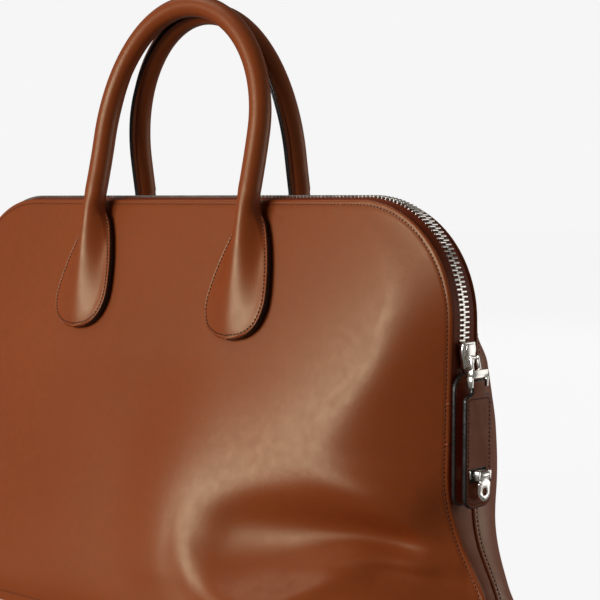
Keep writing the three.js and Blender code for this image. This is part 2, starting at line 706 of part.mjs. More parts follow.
// The staple: a block that comes through the pull's slot, two ears and the tongue's pin
function stapleGeometry() {
  const root = TAB_X + TAB_THICK + GAP;
  const face = CLASP_X - BARREL_R - 0.4;
  const low = CLASP_UP - HEAD_RISE;
  const high = CLASP_UP + HEAD_RISE;
  const ear = BARREL_HALF + GAP;
  const post = block(root, face, -HEAD_HALF, HEAD_HALF, low, high);
  const ears = [-1, 1].map((s) => block(
    face - 0.5, CLASP_X + 1.6, Math.min(s * ear, s * HEAD_HALF), Math.max(s * ear, s * HEAD_HALF), low, high));
  const pin = bar(PIN_R, -HEAD_HALF + 0.5, HEAD_HALF - 0.5, CLASP_X, CLASP_UP, 12);
  return join(post, pin, ...ears);
}

// The tongue: a barrel on the pin, and a plate with a round end and a hole
function tongueGeometry() {
  const shoulder = CLASP_UP - HEAD_RISE - 1;
  const outline = roundedOutline(TONGUE_HALF, CLASP_UP - TONGUE_LENGTH, shoulder, TONGUE_HALF - 0.2, 1);
  const hole = new THREE.Path();
  hole.absarc(0, CLASP_UP - TONGUE_LENGTH + TONGUE_HALF, TONGUE_HOLE, 0, Math.PI * 2, true);
  outline.holes.push(hole);
  const plateX = CLASP_X - 0.3;
  const plate = uprightPlate(outline, plateX, TONGUE_THICK, 6);
  const neck = block(plateX, plateX + TONGUE_THICK, -BARREL_HALF, BARREL_HALF, shoulder - 1, CLASP_UP);
  const barrel = bar(BARREL_R, -BARREL_HALF, BARREL_HALF, CLASP_X, CLASP_UP, 16);
  const bore = bar(BARREL_BORE, -BARREL_HALF - 1, BARREL_HALF + 1, CLASP_X, CLASP_UP, 16);
  return cut(join(plate, neck, barrel), bore);
}

const bag = new THREE.Group();

function addPiece(name, geometry, look, parent = bag) {
  const mesh = new THREE.Mesh(geometry, new THREE.MeshStandardMaterial(look));
  mesh.name = name;
  parent.add(mesh);
  return mesh;
}

// A group that lies on the upper part of a panel, its Y up the slope and its Z out of the bag
function panelFrame(facing, side) {
  const frame = new THREE.Group();
  const up = new THREE.Vector3(0, -facing * FRONT_SLOPE, 1).normalize();
  const out = new THREE.Vector3(0, facing, FRONT_SLOPE).normalize();
  const across = up.clone().cross(out);
  frame.setRotationFromMatrix(new THREE.Matrix4().makeBasis(across, up, out));
  frame.position.set(side * HANDLE_X, facing * SEAM_HALF, TOP);
  bag.add(frame);
  return frame;
}

addPiece('front_panel', panelGeometry(-1), LEATHER);
addPiece('back_panel', panelGeometry(1), LEATHER);
addPiece('base_panel', baseGeometry(), LEATHER);
addPiece('gusset_right', gussetGeometry(1), LEATHER);
addPiece('gusset_left', gussetGeometry(-1), LEATHER);
addPiece('zip_tape_front', tapeGeometry(-1), TAPE_CLOTH);
addPiece('zip_tape_back', tapeGeometry(1), TAPE_CLOTH);
addPiece('zip_chain', chainGeometry(), NICKEL);
addPiece('handle_front', handleGeometry(-1, ARCH.front), LEATHER);
addPiece('handle_back', handleGeometry(1, ARCH.back), LEATHER);
for (const [facing, place] of [[-1, 'front'], [1, 'back']]) {
  for (const [side, end] of [[1, 'right'], [-1, 'left']]) {
    const backing = addPiece(`backing_${place}_${end}`, backingGeometry(), LEATHER, panelFrame(facing, side));
    backing.position.z = GAP;
  }
}
addPiece('base_tab', uprightPlate(
  roundedOutline(TAB_HALF, TAB_LOW, TAB_HIGH, 6, 10), TAB_X, TAB_THICK), LEATHER);
const endTab = addPiece('end_tab', uprightPlate(
  roundedOutline(TAB_HALF, TAB_LOW + 30, TAB_HIGH + 10, 6, 10), TAB_X, TAB_THICK), LEATHER);
endTab.rotation.z = Math.PI;
addPiece('zip_slider', sliderGeometry(), NICKEL);
addPiece('pull_fork', forkGeometry(), NICKEL);
addPiece('pull_tab', pullTabGeometry(), LEATHER);
addPiece('clasp_staple', stapleGeometry(), NICKEL);
addPiece('clasp_tongue', tongueGeometry(), NICKEL);

export default bag;
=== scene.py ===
# A soft leather bowling bag: two body panels, a zip, rolled handles, a pull tab and a clasp.
# Sizes are millimetres until a mesh is finished. X runs along the bag, -Y is its front, Z is up.

import math
import random
from functools import lru_cache

import bmesh
import bpy
from mathutils import Matrix, Vector, kdtree


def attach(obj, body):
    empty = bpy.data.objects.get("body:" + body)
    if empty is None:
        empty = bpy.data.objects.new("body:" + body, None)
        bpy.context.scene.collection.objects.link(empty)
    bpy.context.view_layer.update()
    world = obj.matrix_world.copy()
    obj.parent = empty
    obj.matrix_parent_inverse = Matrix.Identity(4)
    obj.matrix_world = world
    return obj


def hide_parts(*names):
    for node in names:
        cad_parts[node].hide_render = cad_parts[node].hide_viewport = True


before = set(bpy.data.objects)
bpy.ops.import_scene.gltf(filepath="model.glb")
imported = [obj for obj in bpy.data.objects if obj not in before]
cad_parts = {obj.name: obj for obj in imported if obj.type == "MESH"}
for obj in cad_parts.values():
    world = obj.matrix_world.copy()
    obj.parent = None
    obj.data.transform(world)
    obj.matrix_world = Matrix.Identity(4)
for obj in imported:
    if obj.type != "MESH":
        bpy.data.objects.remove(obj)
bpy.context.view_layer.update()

MM = 0.001
chance = random.Random(7)

# Body sizes
TOP = 263
TOP_CORNER = 68
HALF_WIDTH = 218
WALL = 2
FOOT = 0.8
FRONT_SLOPE = 0.317
SEAM_HALF = 12
STRAIGHT_PART = 0.5
CORNER_UP = TOP - TOP_CORNER
TOP_STRAIGHT = HALF_WIDTH - TOP_CORNER

# Plan sections of the body, one row for each level
LEVEL_COLUMNS = ("up", "wide", "deep", "seam", "corner", "crown", "round")
LEVEL_ROWS = (
    (0, 240, 91, 5, 96, 0, 1),
    (18, 243.5, 89.6, 5, 94, 1, 1),
    (40, 236.8, 83, 5.5, 76, 3, 0.3),
    (70, 222, 73.2, 7.5, 84, 4, 0.35),
    (98, 216.2, 64.3, 11, 80, 4, 0.2),
    (130, 216.8, 54.2, 12, 64, 2, 0.05),
    (165, 217.4, 43.1, 12, 46, 0, 0),
    (195, 218, 33.6, 12, 40, 0, 0),
    (263, 218, 12, 12, 32, 0, 0),
)
LEVELS = [dict(zip(LEVEL_COLUMNS, row)) for row in LEVEL_ROWS]

# Share of the depth that is lost by the end of the straight part, and softness of the crease there
END_DROP = 0.2
CREASE = 0.5

# The back panel is rounder than the front and stands more upright
BACK_COLUMNS = ("up", "deep", "corner", "round")
BACK_ROWS = (
    (0, 91, 180, 1),
    (18, 87.5, 150, 1),
    (40, 78, 150, 1),
    (70, 78, 90, 1),
    (98, 76, 54, 1),
    (130, 64, 40, 1),
    (150, 52, 31, 1),
    (170, 41.5, 27, 1),
    (195, 33.6, 34, 0.1),
    (263, 12, 32, 0),
)
BACK_LEVELS = [dict(zip(BACK_COLUMNS, row)) for row in BACK_ROWS]

# Each panel leans in evenly above its own level, and the front has no crown above the last one
FRONT_SLOPED = 100
BACK_SLOPED = 170
CROWN_TOP = 165

# Broad dents and swells of the front panel, one row for each
FOLD_COLUMNS = ("x", "up", "turn", "left", "right", "below", "above", "out")
FOLD_ROWS = (
    (160, 58, -4, 72, 104, 33, 26, -10),
    (201, 92, -16, 46, 15, 15, 13, 6.5),
    (218, 36, 10, 56, 30, 28, 20, -6),
    (60, 75, 102, 42, 66, 34, 36, 5),
    (100, 56, 0, 16, 60, 30, 26, -2.2),
)
FOLDS = [dict(zip(FOLD_COLUMNS, row)) for row in FOLD_ROWS]

# Creases that run along the front panel, one row for each place along them
CREASE_COLUMNS = ("x", "up", "out", "above", "below")
TROUGH_ROWS = (
    (56, 62, 0, 16, 22),
    (84, 68, -1, 16, 22),
    (104, 73, -3, 16, 24),
    (124, 75, -5, 15, 26),
    (145, 74, -7, 14, 20),
    (170, 71.5, -8.5, 13, 11),
    (190, 67, -9, 11, 8),
    (206, 62, -6.5, 9, 6),
    (222, 57, 0, 8, 6),
)
LIP_ROWS = (
    (130, 56, 0, 8, 8),
    (150, 58, 0.5, 8, 8),
    (170, 61, 2, 8, 7),
    (190, 60.5, 5.5, 8, 7),
    (206, 59, 8.5, 8, 7),
    (216, 57, 5.5, 7, 6),
    (226, 54, 0, 7, 6),
)
UNDER_ROWS = (
    (130, 45, 0, 8, 8),
    (150, 48, -2, 8, 8),
    (170, 52, -4, 8, 8),
    (190, 53, -6.5, 8, 8),
    (208, 52, -4, 8, 8),
    (225, 50, 0, 7, 7),
)
LOW_RIM_ROWS = (
    (60, 62, 0, 14, 14),
    (72, 54, 1.5, 14, 14),
    (86, 41, 3, 15, 14),
    (110, 28, 7.5, 15, 14),
    (137, 32, 8.5, 13, 12),
    (153, 40, 6.5, 10, 10),
    (170, 47.5, 3.5, 8, 8),
    (186, 49, 0, 7, 8),
)
CREASES = [
    [dict(zip(CREASE_COLUMNS, row)) for row in rows]
    for rows in (TROUGH_ROWS, LIP_ROWS, UNDER_ROWS, LOW_RIM_ROWS)]

# How fast a fold fades, the levels between which folds set in, and how near the rim they reach
FOLD_POWER = 1.2
FOLD_LOW = 15
FOLD_FULL = 42
FOLD_HOLD = 16

# Sewing and edge sizes
STITCH_PITCH = 2.5
STITCH_LONG = 1.8
STITCH_THICK = 1.0
STITCH_SUNK = 0.12
STITCH_TWIST = 0.06
STITCH_BATCH = 24
PANEL_STITCH_SUNK = 0.1
RIM_STITCH = 3
FOOT_STITCH = 6.4
FOOT_SIDE = 0.985
FOOT_STEPS = 200
GROOVE_HALF = 0.9
GROOVE_DEEP = 0.22
TURNED_WIDE = 1.4
TURNED_DEEP = 0.5
TACKS_UP = (149, 126)
TACK_SIDE = 0.99
TACK_SIZE = (1.6, 1.3, 0.8)

# Steps for measuring along a panel: shares of its half width, millimetres and degrees
SIDE_STEP = 0.002
SIDE_STOP = 0.2
NEAR_SIDE = 0.004
NEAR_UP = 0.5
RIM_START = 5
RIM_STEP = 2
RIM_TURN = 2
RIM_TOP_STEPS = 30

# Zip sizes
TAPE = 1.2
TAPE_LEVEL = 2.5
TAPE_GAP = 0.2
TAPE_TOP_HALF = 9.2
TAPE_END_HALF = 10.6
TAPE_TOP_BAND = 6
TAPE_SWELL = 0.35
ZIP_LIFT = 3
ZIP_LIFT_RANGE = (0.2, 0.95)
ZIP_END = 160
TOOTH_PITCH = 2.9
TOOTH_LONG = 1.35
TOOTH_REACH = 4.6
TOOTH_CROSS = 0.9
TOOTH_HIGH = 2.3
TOOTH_SUNK = 1.45
TOOTH_EDGE = 0.3
TOOTH_BATCH = 40
SLIDER_ROOM = 20
LAST_TEETH = 8

# Handle sizes
HANDLE_X = 71.4
TUBE_R = 6.9
RIDGE = 2.4
RIDGE_TOP = 0.5
ARCHES = {
    "front": {"facing": -1, "straight": 42, "apex": 124.2, "away": 24.2, "lean": -0.272, "curl": 0.00089},
    "back": {"facing": 1, "straight": 28, "apex": 120.4, "away": 24.3, "lean": -0.1825, "curl": 0.00056},
}

# Paddle end of a handle, one row for each distance down the panel from its top edge
PADDLE_COLUMNS = ("down", "half", "top", "open", "mound")
PADDLE_ROWS = (
    (0, 7, 18.5, 0, 13),
    (9, 9.6, 17.8, 0.5, 13.5),
    (16, 13, 16.8, 0.85, 14),
    (31, 18, 14.8, 1, 15.5),
    (47, 22.5, 12.4, 1, 18),
    (65, 25.2, 10, 1, 21),
    (76, 23.4, 8.2, 1, 20),
    (84, 18, 6.6, 1, 15),
    (88.5, 9.5, 5.4, 1, 9),
    (90, 0.5, 5.0, 1, 8),
)
PADDLE = [dict(zip(PADDLE_COLUMNS, row)) for row in PADDLE_ROWS]
PADDLE_LOW = 2.4
PADDLE_EDGE = 2.4
PADDLE_SEW_INSET = 2.3
PADDLE_SEW_FROM = 14
PADDLE_SEW_LIFT = 0.3
BACKING = 1.7
BACKING_TOP = 10
BACKING_LOW = 88
BACKING_HALF = 12.5
BACKING_INSIDE = 0.6
BACKING_STEP = 1.7
BACKING_GAP = 0.3
BACKING_ROUND = 0.5

# Tabs and metal at the right end
TAB_X = 218.2
TAB_THICK = 2.6
TAB_HALF = 13
TAB_LOW = 91
TAB_HIGH = 166
TAB_CORNERS = (6.5, 10)
TAB_ROUND = 0.8
TAB_SEW = 2.2
TAB_SEW_CORNERS = (5, 8)
TAB_SEW_PITCH = 2.4
END_TAB_LOW = TAB_LOW + 30
END_TAB_HIGH = TAB_HIGH + 10
PULL_X = 225
PULL_THICK = 3
PULL_HALF = 12.2
PULL_LOW = 90
PULL_HIGH = 154
PULL_LOW_CORNER = 7
PULL_HIGH_CORNER = 3.6
PULL_ROUND = 0.9
PULL_SEW = 2.3
PULL_SEW_CORNERS = (5, 2)
NECK_HALF = 6
NECK_HIGH = 162.4
NECK_CORNER = 2.4
CLASP_UP = 108.8
PULL_SLOT = (-8.2, 6.4, CLASP_UP - 3.1, CLASP_UP + 3.1)


def smooth_step(value, low, high):
    t = min(max((value - low) / (high - low), 0.0), 1.0)
    return t * t * (3 - 2 * t)


def blend(a, b, t):
    return a + (b - a) * t


# Smooth reading of a table's column, with `key` as the sorted column
def read(table, key, column, at):
    last = len(table) - 1
    i = 0
    while i < last - 1 and table[i + 1][key] < at:
        i += 1

    def slope(k):
        a = table[max(k - 1, 0)]
        b = table[min(k + 1, last)]
        return (b[column] - a[column]) / (b[key] - a[key])

    step = table[i + 1][key] - table[i][key]
    t = (at - table[i][key]) / step
    lift = t * t * (3 - 2 * t)
    start = t * (1 - t) * (1 - t) * step * slope(i)
    end = t * t * (t - 1) * step * slope(i + 1)
    return table[i][column] * (1 - lift) + table[i + 1][column] * lift + start + end


# Plan section of the body at one level, towards the front (-1) or the back (1)
@lru_cache(maxsize=None)
def section(up, facing=-1):
    wide = read(LEVELS, "up", "wide", up)
    if up > CORNER_UP:
        rise = min(up - CORNER_UP, TOP_CORNER)
        wide = TOP_STRAIGHT + math.sqrt(TOP_CORNER * TOP_CORNER - rise * rise)
    table = LEVELS if facing < 0 else BACK_LEVELS
    deep = SEAM_HALF + FRONT_SLOPE * (TOP - up)
    if up <= (FRONT_SLOPED if facing < 0 else BACK_SLOPED):
        deep = read(table, "up", "deep", up)
    seam = read(LEVELS, "up", "seam", up)
    corner = read(table, "up", "corner", up)
    crown = 0 if up > CROWN_TOP else read(LEVELS, "up", "crown", up)
    soft = min(max(read(table, "up", "round", up), 0), 1)
    return wide, seam, max(deep - seam, 0), corner, crown, soft


# The end of a section from its crease to the rim: a flat flank where the panel is creased,
# an elliptic curve where it is soft
def end_across(q, soft):
    return blend(q, math.sin(q * math.pi / 2), soft)


def end_out(q, soft, flat, corner):
    rest = 1 - END_DROP
    lean = 4 * END_DROP * corner * blend(1, math.pi / 2, soft) / (flat * rest)
    bend = (math.hypot(q, CREASE) - CREASE) / (math.hypot(1, CREASE) - CREASE)
    flank = rest * (1 - blend(bend, q, lean))
    return blend(flank, math.cos(q * math.pi / 2), soft)


# Line, height and reach of a crease at whole millimetres along the panel
@lru_cache(maxsize=None)
def crease_step(number, x):
    table = CREASES[number]
    if not table[0]["x"] < x < table[-1]["x"]:
        at = table[0] if x <= table[0]["x"] else table[-1]
        return at["up"], 0, at["above"], at["below"]
    return tuple(read(table, "x", name, x) for name in CREASE_COLUMNS[1:])


def crease_out(number, x, up):
    low = math.floor(x)
    parts = zip(crease_step(number, low), crease_step(number, low + 1))
    line, out, above, below = (blend(a, b, x - low) for a, b in parts)
    off = up - line
    return out * math.exp(-(off / (above if off > 0 else below)) ** 2)


# How far the folds push the front panel out at a place on it
def fold_out(x, up):
    out = sum(crease_out(number, x, up) for number in range(len(CREASES)))
    for fold in FOLDS:
        turn = math.radians(fold["turn"])
        dx = x - fold["x"]
        dz = up - fold["up"]
        along = dx * math.cos(turn) + dz * math.sin(turn)
        across = dz * math.cos(turn) - dx * math.sin(turn)
        along /= fold["left"] if along < 0 else fold["right"]
        across /= fold["below"] if across < 0 else fold["above"]
        out += fold["out"] * math.exp(-(along * along + across * across) ** FOLD_POWER)
    return out


# A place on a body panel: `side` runs from -1 to 1 between its end edges
def panel_place(side, up, facing=-1):
    wide, seam, bulge, corner, crown, soft = section(round(up, 4), facing)
    t = abs(side)
    flat = wide - corner
    if t <= STRAIGHT_PART:
        u = t / STRAIGHT_PART
        x = flat * u
        y = seam + bulge * (1 - END_DROP * (1 - soft) * u ** 4) + crown * (1 - u * u) ** 2
    else:
        q = (t - STRAIGHT_PART) / (1 - STRAIGHT_PART)
        x = flat + corner * end_across(q, soft)
        y = seam + bulge * end_out(q, soft, flat, corner)
    x = math.copysign(x, side)
    if facing < 0:
        hold = (1 - t ** FOLD_HOLD) * smooth_step(up, FOLD_LOW, FOLD_FULL)
        y += fold_out(x, up) * hold
    return Vector((x, facing * y, up))


def panel_normal(side, up, facing):
    left = panel_place(max(side - NEAR_SIDE, -1), up, facing)
    right = panel_place(min(side + NEAR_SIDE, 1), up, facing)
    low = panel_place(side, max(up - NEAR_UP, FOOT), facing)
    high = panel_place(side, min(up + NEAR_UP, TOP), facing)
    return ((right - left).cross(high - low) * -facing).normalized()


# The column of the panel that passes a distance from the bag's middle, at a level
def side_at(x, up, facing):
    wide, _, _, corner, _, soft = section(round(up, 4), facing)
    flat = wide - corner
    if abs(x) <= flat:
        side = STRAIGHT_PART * abs(x) / flat
    else:
        reach = min((abs(x) - flat) / corner, 1)
        q = 0.5
        step = 0.25
        while step > 1e-5:
            q += step if end_across(q, soft) < reach else -step
            step /= 2
        side = STRAIGHT_PART + (1 - STRAIGHT_PART) * q
    return math.copysign(side, x)


# The column that lies a distance inside the panel's end edge, at a level
def side_inside(up, distance, facing):
    side = 1.0
    place = panel_place(side, up, facing)
    gone = 0
    while gone < distance and side > SIDE_STOP:
        side -= SIDE_STEP
        step = panel_place(side, up, facing)
        gone += (step - place).length
        place = step
    return side


# Places on a panel a short way inside its rim, from the right foot over the top to the left
def rim_run(distance, facing):
    right = []
    up = FOOT + RIM_START
    while up < CORNER_UP:
        right.append((side_inside(up, distance, facing), up))
        up += RIM_STEP
    lean = 1 / math.hypot(1, FRONT_SLOPE)
    for degrees in range(0, 91, RIM_TURN):
        angle = math.radians(degrees)
        rim_up = CORNER_UP + TOP_CORNER * math.sin(angle)
        if degrees <= 45:
            right.append((side_inside(rim_up, distance / math.cos(angle), facing), rim_up))
        else:
            x = TOP_STRAIGHT + TOP_CORNER * math.cos(angle)
            low = rim_up - distance * lean / math.sin(angle)
            right.append((side_at(x, low, facing), low))
    top = TOP - distance * lean
    for step in range(1, RIM_TOP_STEPS + 1):
        x = TOP_STRAIGHT * (1 - step / RIM_TOP_STEPS)
        right.append((side_at(x, top, facing), top))
    left = [(-side, up) for side, up in reversed(right[:-1])]
    return right + left


# Even steps along a run of places, as (point, way along, normal)
def sewing_steps(run, place, normal, pitch):
    points = [place(*at) for at in run]
    reach = [0]
    for a, b in zip(points, points[1:]):
        reach.append(reach[-1] + (b - a).length)
    count = int(reach[-1] / pitch)
    steps = []
    k = 0
    for i in range(count):
        want = (i + 0.5) * reach[-1] / count
        while reach[k + 1] < want:
            k += 1
        t = (want - reach[k]) / max(reach[k + 1] - reach[k], 1e-9)
        at = [blend(a, b, t) for a, b in zip(run[k], run[k + 1])]
        steps.append((place(*at), points[k + 1] - points[k], normal(*at)))
    return steps


# Shader node groups and materials


# Links or sets the named inputs of a node
def set_inputs(tree, node, links):
    for socket, value in links.items():
        if isinstance(value, bpy.types.NodeSocket):
            tree.links.new(value, node.inputs[socket])
        else:
            node.inputs[socket].default_value = value
    return node


def add_node(tree, kind, links, **values):
    node = tree.nodes.new(kind)
    for name, value in values.items():
        setattr(node, name, value)
    return set_inputs(tree, node, links)


def mix_colour(tree, factor, a, b):
    return add_node(tree, "ShaderNodeMix", {0: factor, 6: a, 7: b}, data_type="RGBA").outputs[2]


def spread_value(tree, value, low, high, to_low, to_high):
    links = {"Value": value, "From Min": low, "From Max": high, "To Min": to_low, "To Max": to_high}
    return add_node(tree, "ShaderNodeMapRange", links).outputs["Result"]


def calculate(tree, operation, a, b):
    return add_node(tree, "ShaderNodeMath", {0: a, 1: b}, operation=operation).outputs[0]


def noise(tree, vector, scale, detail, rough=0.5):
    links = {"Vector": vector, "Scale": scale, "Detail": detail, "Roughness": rough}
    return add_node(tree, "ShaderNodeTexNoise", links).outputs["Fac"]


def relief(tree, height, strength, depth):
    links = {"Strength": strength, "Distance": depth, "Height": height}
    return add_node(tree, "ShaderNodeBump", links).outputs["Normal"]


# A node group that reads a place and a scale, and gives the named values
def shader_group(name, scale, outputs):
    group = bpy.data.node_groups.new(name, "ShaderNodeTree")
    group.interface.new_socket("Vector", in_out="INPUT", socket_type="NodeSocketVector")
    group.interface.new_socket(scale, in_out="INPUT", socket_type="NodeSocketFloat")
    for socket in outputs:
        group.interface.new_socket(socket, in_out="OUTPUT", socket_type="NodeSocketFloat")
    start = group.nodes.new("NodeGroupInput")
    end = group.nodes.new("NodeGroupOutput")
    return group, start.outputs["Vector"], start.outputs[scale], end


def calf_grain_group():
    group, place, scale, end = shader_group("calf grain", "Pore Scale", ("Height", "Pores"))
    pore = add_node(
        group, "ShaderNodeTexVoronoi", {"Vector": place, "Scale": scale},
        feature="DISTANCE_TO_EDGE").outputs["Distance"]
    pores = spread_value(group, pore, 0.0, 0.16, 0.0, 1.0)
    ripple = noise(group, place, 520.0, 3.0)
    soft = noise(group, place, 46.0, 2.0)
    fine = calculate(group, "ADD", ripple, calculate(group, "MULTIPLY", pores, 0.3))
    height = calculate(group, "ADD", fine, calculate(group, "MULTIPLY", soft, 0.15))
    set_inputs(group, end, {"Height": height, "Pores": pores})
    return group


def tone_drift_group():
    group, place, scale, end = shader_group("tone drift", "Scale", ("Drift", "Mottle"))
    broad = noise(group, place, scale, 2.0)
    speckle = noise(group, place, 170.0, 4.0, 0.6)
    drift = spread_value(group, broad, 0.3, 0.7, 0.0, 1.0)
    mottle = spread_value(group, speckle, 0.3, 0.7, 0.0, 1.0)
    set_inputs(group, end, {"Drift": drift, "Mottle": mottle})
    return group


CALF_GRAIN = calf_grain_group()
TONE_DRIFT = tone_drift_group()


def start_material(name):
    material = bpy.data.materials.new(name)
    material.use_nodes = True
    tree = material.node_tree
    tree.nodes.clear()
    shader = tree.nodes.new("ShaderNodeBsdfPrincipled")
    out = tree.nodes.new("ShaderNodeOutputMaterial")
    tree.links.new(shader.outputs["BSDF"], out.inputs["Surface"])
    place = tree.nodes.new("ShaderNodeTexCoord").outputs["Object"]
    return material, tree, shader, place


# Broad and fine changes of tone, each from 0 to 1
def tone_drift(tree, place, scale):
    links = {"Vector": place, "Scale": scale}
    drift = add_node(tree, "ShaderNodeGroup", links, node_tree=TONE_DRIFT)
    return drift.outputs["Drift"], drift.outputs["Mottle"]


def leather_material(name, light, mid, deep, rough, shine):
    material, tree, shader, place = start_material(name)
    drift, mottle = tone_drift(tree, place, 8.0)
    links = {"Vector": place, "Pore Scale": 1900.0}
    grain = add_node(tree, "ShaderNodeGroup", links, node_tree=CALF_GRAIN)
    sewn = add_node(tree, "ShaderNodeAttribute", {}, attribute_name="near_seam")
    tone = mix_colour(tree, drift, mid, light)
    tone = mix_colour(tree, spread_value(tree, mottle, 0.0, 1.0, 0.0, 0.16), tone, deep)
    pores = spread_value(tree, grain.outputs["Pores"], 0.0, 1.0, 0.16, 0.0)
    tone = mix_colour(tree, pores, tone, deep)
    # Painted shade: the leather is darkened towards the deep tone along the sunk stitch groove
    groove_shade = spread_value(tree, sewn.outputs["Fac"], 0.0, 1.0, 0.0, 0.12)
    tone = mix_colour(tree, groove_shade, tone, deep)
    set_inputs(tree, shader, {
        "Base Color": tone,
        "Roughness": spread_value(tree, mottle, 0.0, 1.0, *rough),
        "Normal": relief(tree, grain.outputs["Height"], 0.16, 0.0003),
        "Specular IOR Level": shine,
        "Specular Tint": (1.0, 0.89, 0.58, 1),
    })
    return material


def edge_paint_material():
    material, tree, shader, place = start_material("edge paint")
    drift, mottle = tone_drift(tree, place, 60.0)
    set_inputs(tree, shader, {
        "Base Color": mix_colour(tree, mottle, (0.010, 0.008, 0.007, 1), (0.024, 0.018, 0.014, 1)),
        "Roughness": spread_value(tree, drift, 0.0, 1.0, 0.22, 0.4),
        "Normal": relief(tree, mottle, 0.2, 0.0004),
    })
    return material


def thread_material(name, dark, light):
    material, tree, shader, place = start_material(name)
    drift = tone_drift(tree, place, 400.0)[0]
    twist = add_node(
        tree, "ShaderNodeTexWave", {"Vector": place, "Scale": 900.0, "Distortion": 1.0},
        bands_direction="DIAGONAL").outputs["Fac"]
    set_inputs(tree, shader, {
        "Base Color": mix_colour(tree, drift, dark, light),
        "Roughness": 0.6,
        "Normal": relief(tree, twist, 0.5, 0.0002),
    })
    return material


def nickel_material():
    material, tree, shader, place = start_material("polished nickel")
    drift, mottle = tone_drift(tree, place, 90.0)
    set_inputs(tree, shader, {
        "Base Color": mix_colour(tree, drift, (0.84, 0.80, 0.74, 1), (0.92, 0.89, 0.84, 1)),
        "Roughness": spread_value(tree, mottle, 0.0, 1.0, 0.14, 0.26),
        "Normal": relief(tree, mottle, 0.05, 0.0002),
        "Metallic": 1.0,
    })
    return material


def floor_material():
    material, tree, shader, place = start_material("pale floor")
    drift = tone_drift(tree, place, 1.5)[0]
    set_inputs(tree, shader, {
        "Base Color": mix_colour(tree, drift, (0.09, 0.09, 0.09, 1), (0.10, 0.10, 0.10, 1)),
        "Roughness": 0.9,
        "Specular IOR Level": 0.1,
        "Emission Color": (1, 1, 1, 1),
        "Emission Strength": 0.9,
    })
    return material


LEATHER = leather_material(
    "cognac calf", (0.355, 0.070, 0.0135, 1), (0.318, 0.060, 0.0110, 1), (0.120, 0.020, 0.005, 1),
    rough=(0.31, 0.39), shine=0.53)
FACING = leather_material(
    "dark facing", (0.250, 0.042, 0.012, 1), (0.215, 0.034, 0.010, 1), (0.080, 0.012, 0.004, 1),
    rough=(0.45, 0.55), shine=0.2)
STRAP = leather_material(
    "strap leather", (0.330, 0.070, 0.019, 1), (0.295, 0.060, 0.016, 1), (0.110, 0.020, 0.006, 1),
    rough=(0.4, 0.5), shine=0.22)
EDGE_PAINT = edge_paint_material()
THREAD = thread_material("waxed thread", (0.060, 0.012, 0.005, 1), (0.085, 0.017, 0.006, 1))
RIM_THREAD = thread_material("rim thread", (0.130, 0.027, 0.009, 1), (0.165, 0.035, 0.011, 1))
TACK_THREAD = thread_material("tack thread", (0.330, 0.075, 0.020, 1), (0.400, 0.100, 0.030, 1))
NICKEL = nickel_material()


def add_object(name, data):
    made = bpy.data.objects.new(name, data)
    bpy.context.scene.collection.objects.link(made)
    return made


# Makes a piece of the bag from a mesh in millimetres; `sharp` is the angle of its hard edges
def finish_piece(name, bm, materials, stands_for=(), body="bag", smooth=True, sharp=None):
    bmesh.ops.scale(bm, vec=(MM, MM, MM), verts=bm.verts)
    if smooth is not None:
        for face in bm.faces:
            face.smooth = smooth
    mesh = bpy.data.meshes.new(name)
    bm.to_mesh(mesh)
    bm.free()
    if sharp:
        mesh.set_sharp_from_angle(angle=math.radians(sharp))
    for material in materials:
        mesh.materials.append(material)
    piece = add_object(name, mesh)
    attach(piece, body)
    if stands_for:
        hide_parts(*stands_for)
    return piece


def add_wall(piece, thick):
    wall = piece.modifiers.new("wall", "SOLIDIFY")
    wall.thickness = thick * MM
    wall.offset = -1
    wall.use_even_offset = False


# Joins meshes into one
def join_meshes(parts):
    whole = bmesh.new()
    for part in parts:
        mesh = bpy.data.meshes.new("part")
        part.to_mesh(mesh)
        part.free()
        whole.from_mesh(mesh)
        bpy.data.meshes.remove(mesh)
    return whole


# Extrudes faces in place and gives the new corners
def extruded(bm, faces):
    lifted = bmesh.ops.extrude_face_region(bm, geom=faces)["geom"]
    return [item for item in lifted if isinstance(item, bmesh.types.BMVert)]


def hard_edges(bm, angle):
    return [edge for edge in bm.edges if edge.calc_face_angle(0) > angle]


def round_edges(bm, edges, width, segments=2, material=-1):
    bmesh.ops.bevel(
        bm, geom=edges, offset=width, segments=segments, affect="EDGES", profile=0.5, material=material)


# Body panels

PANEL_COLUMNS = 240
PANEL_LOW_ROWS = 80
PANEL_TOP_ROWS = 28
PANEL_ROWS = PANEL_LOW_ROWS + PANEL_TOP_ROWS
PANEL_SHARP = 50
ROW_POWER = 1.2
COLUMN_POWER = 1.5
RIM_PLACES = 4000
RIM_PER_MM = 10


# Level of a panel's row: close together at the foot and at the top edge
def row_level(row):
    if row <= PANEL_LOW_ROWS:
        return blend(FOOT, CORNER_UP, (row / PANEL_LOW_ROWS) ** ROW_POWER)
    angle = (row - PANEL_LOW_ROWS) / PANEL_TOP_ROWS * math.pi / 2
    return CORNER_UP + TOP_CORNER * math.sin(angle)


# Columns lie closer together towards the panel's end edges
def column_side(part):
    return math.copysign(1 - (1 - abs(part)) ** COLUMN_POWER, part)


# Places close together along a panel's rim, for measuring how far a place lies from it
def rim_tree(facing):
    places = []
    for i in range(1, RIM_PLACES + 1):
        up = FOOT + (TOP - FOOT) * math.sin(i / RIM_PLACES * math.pi / 2)
        for side in (-1, 1):
            places.append(panel_place(side, up, facing))
    for i in range(2 * TOP_STRAIGHT * RIM_PER_MM + 1):
        places.append(Vector((i / RIM_PER_MM - TOP_STRAIGHT, facing * SEAM_HALF, TOP)))
    tree = kdtree.KDTree(len(places))
    for i, place in enumerate(places):
        tree.insert(place, i)
    tree.balance()
    return tree


def sewn_groove(distance, line):
    return math.exp(-((distance - line) / GROOVE_HALF) ** 2)


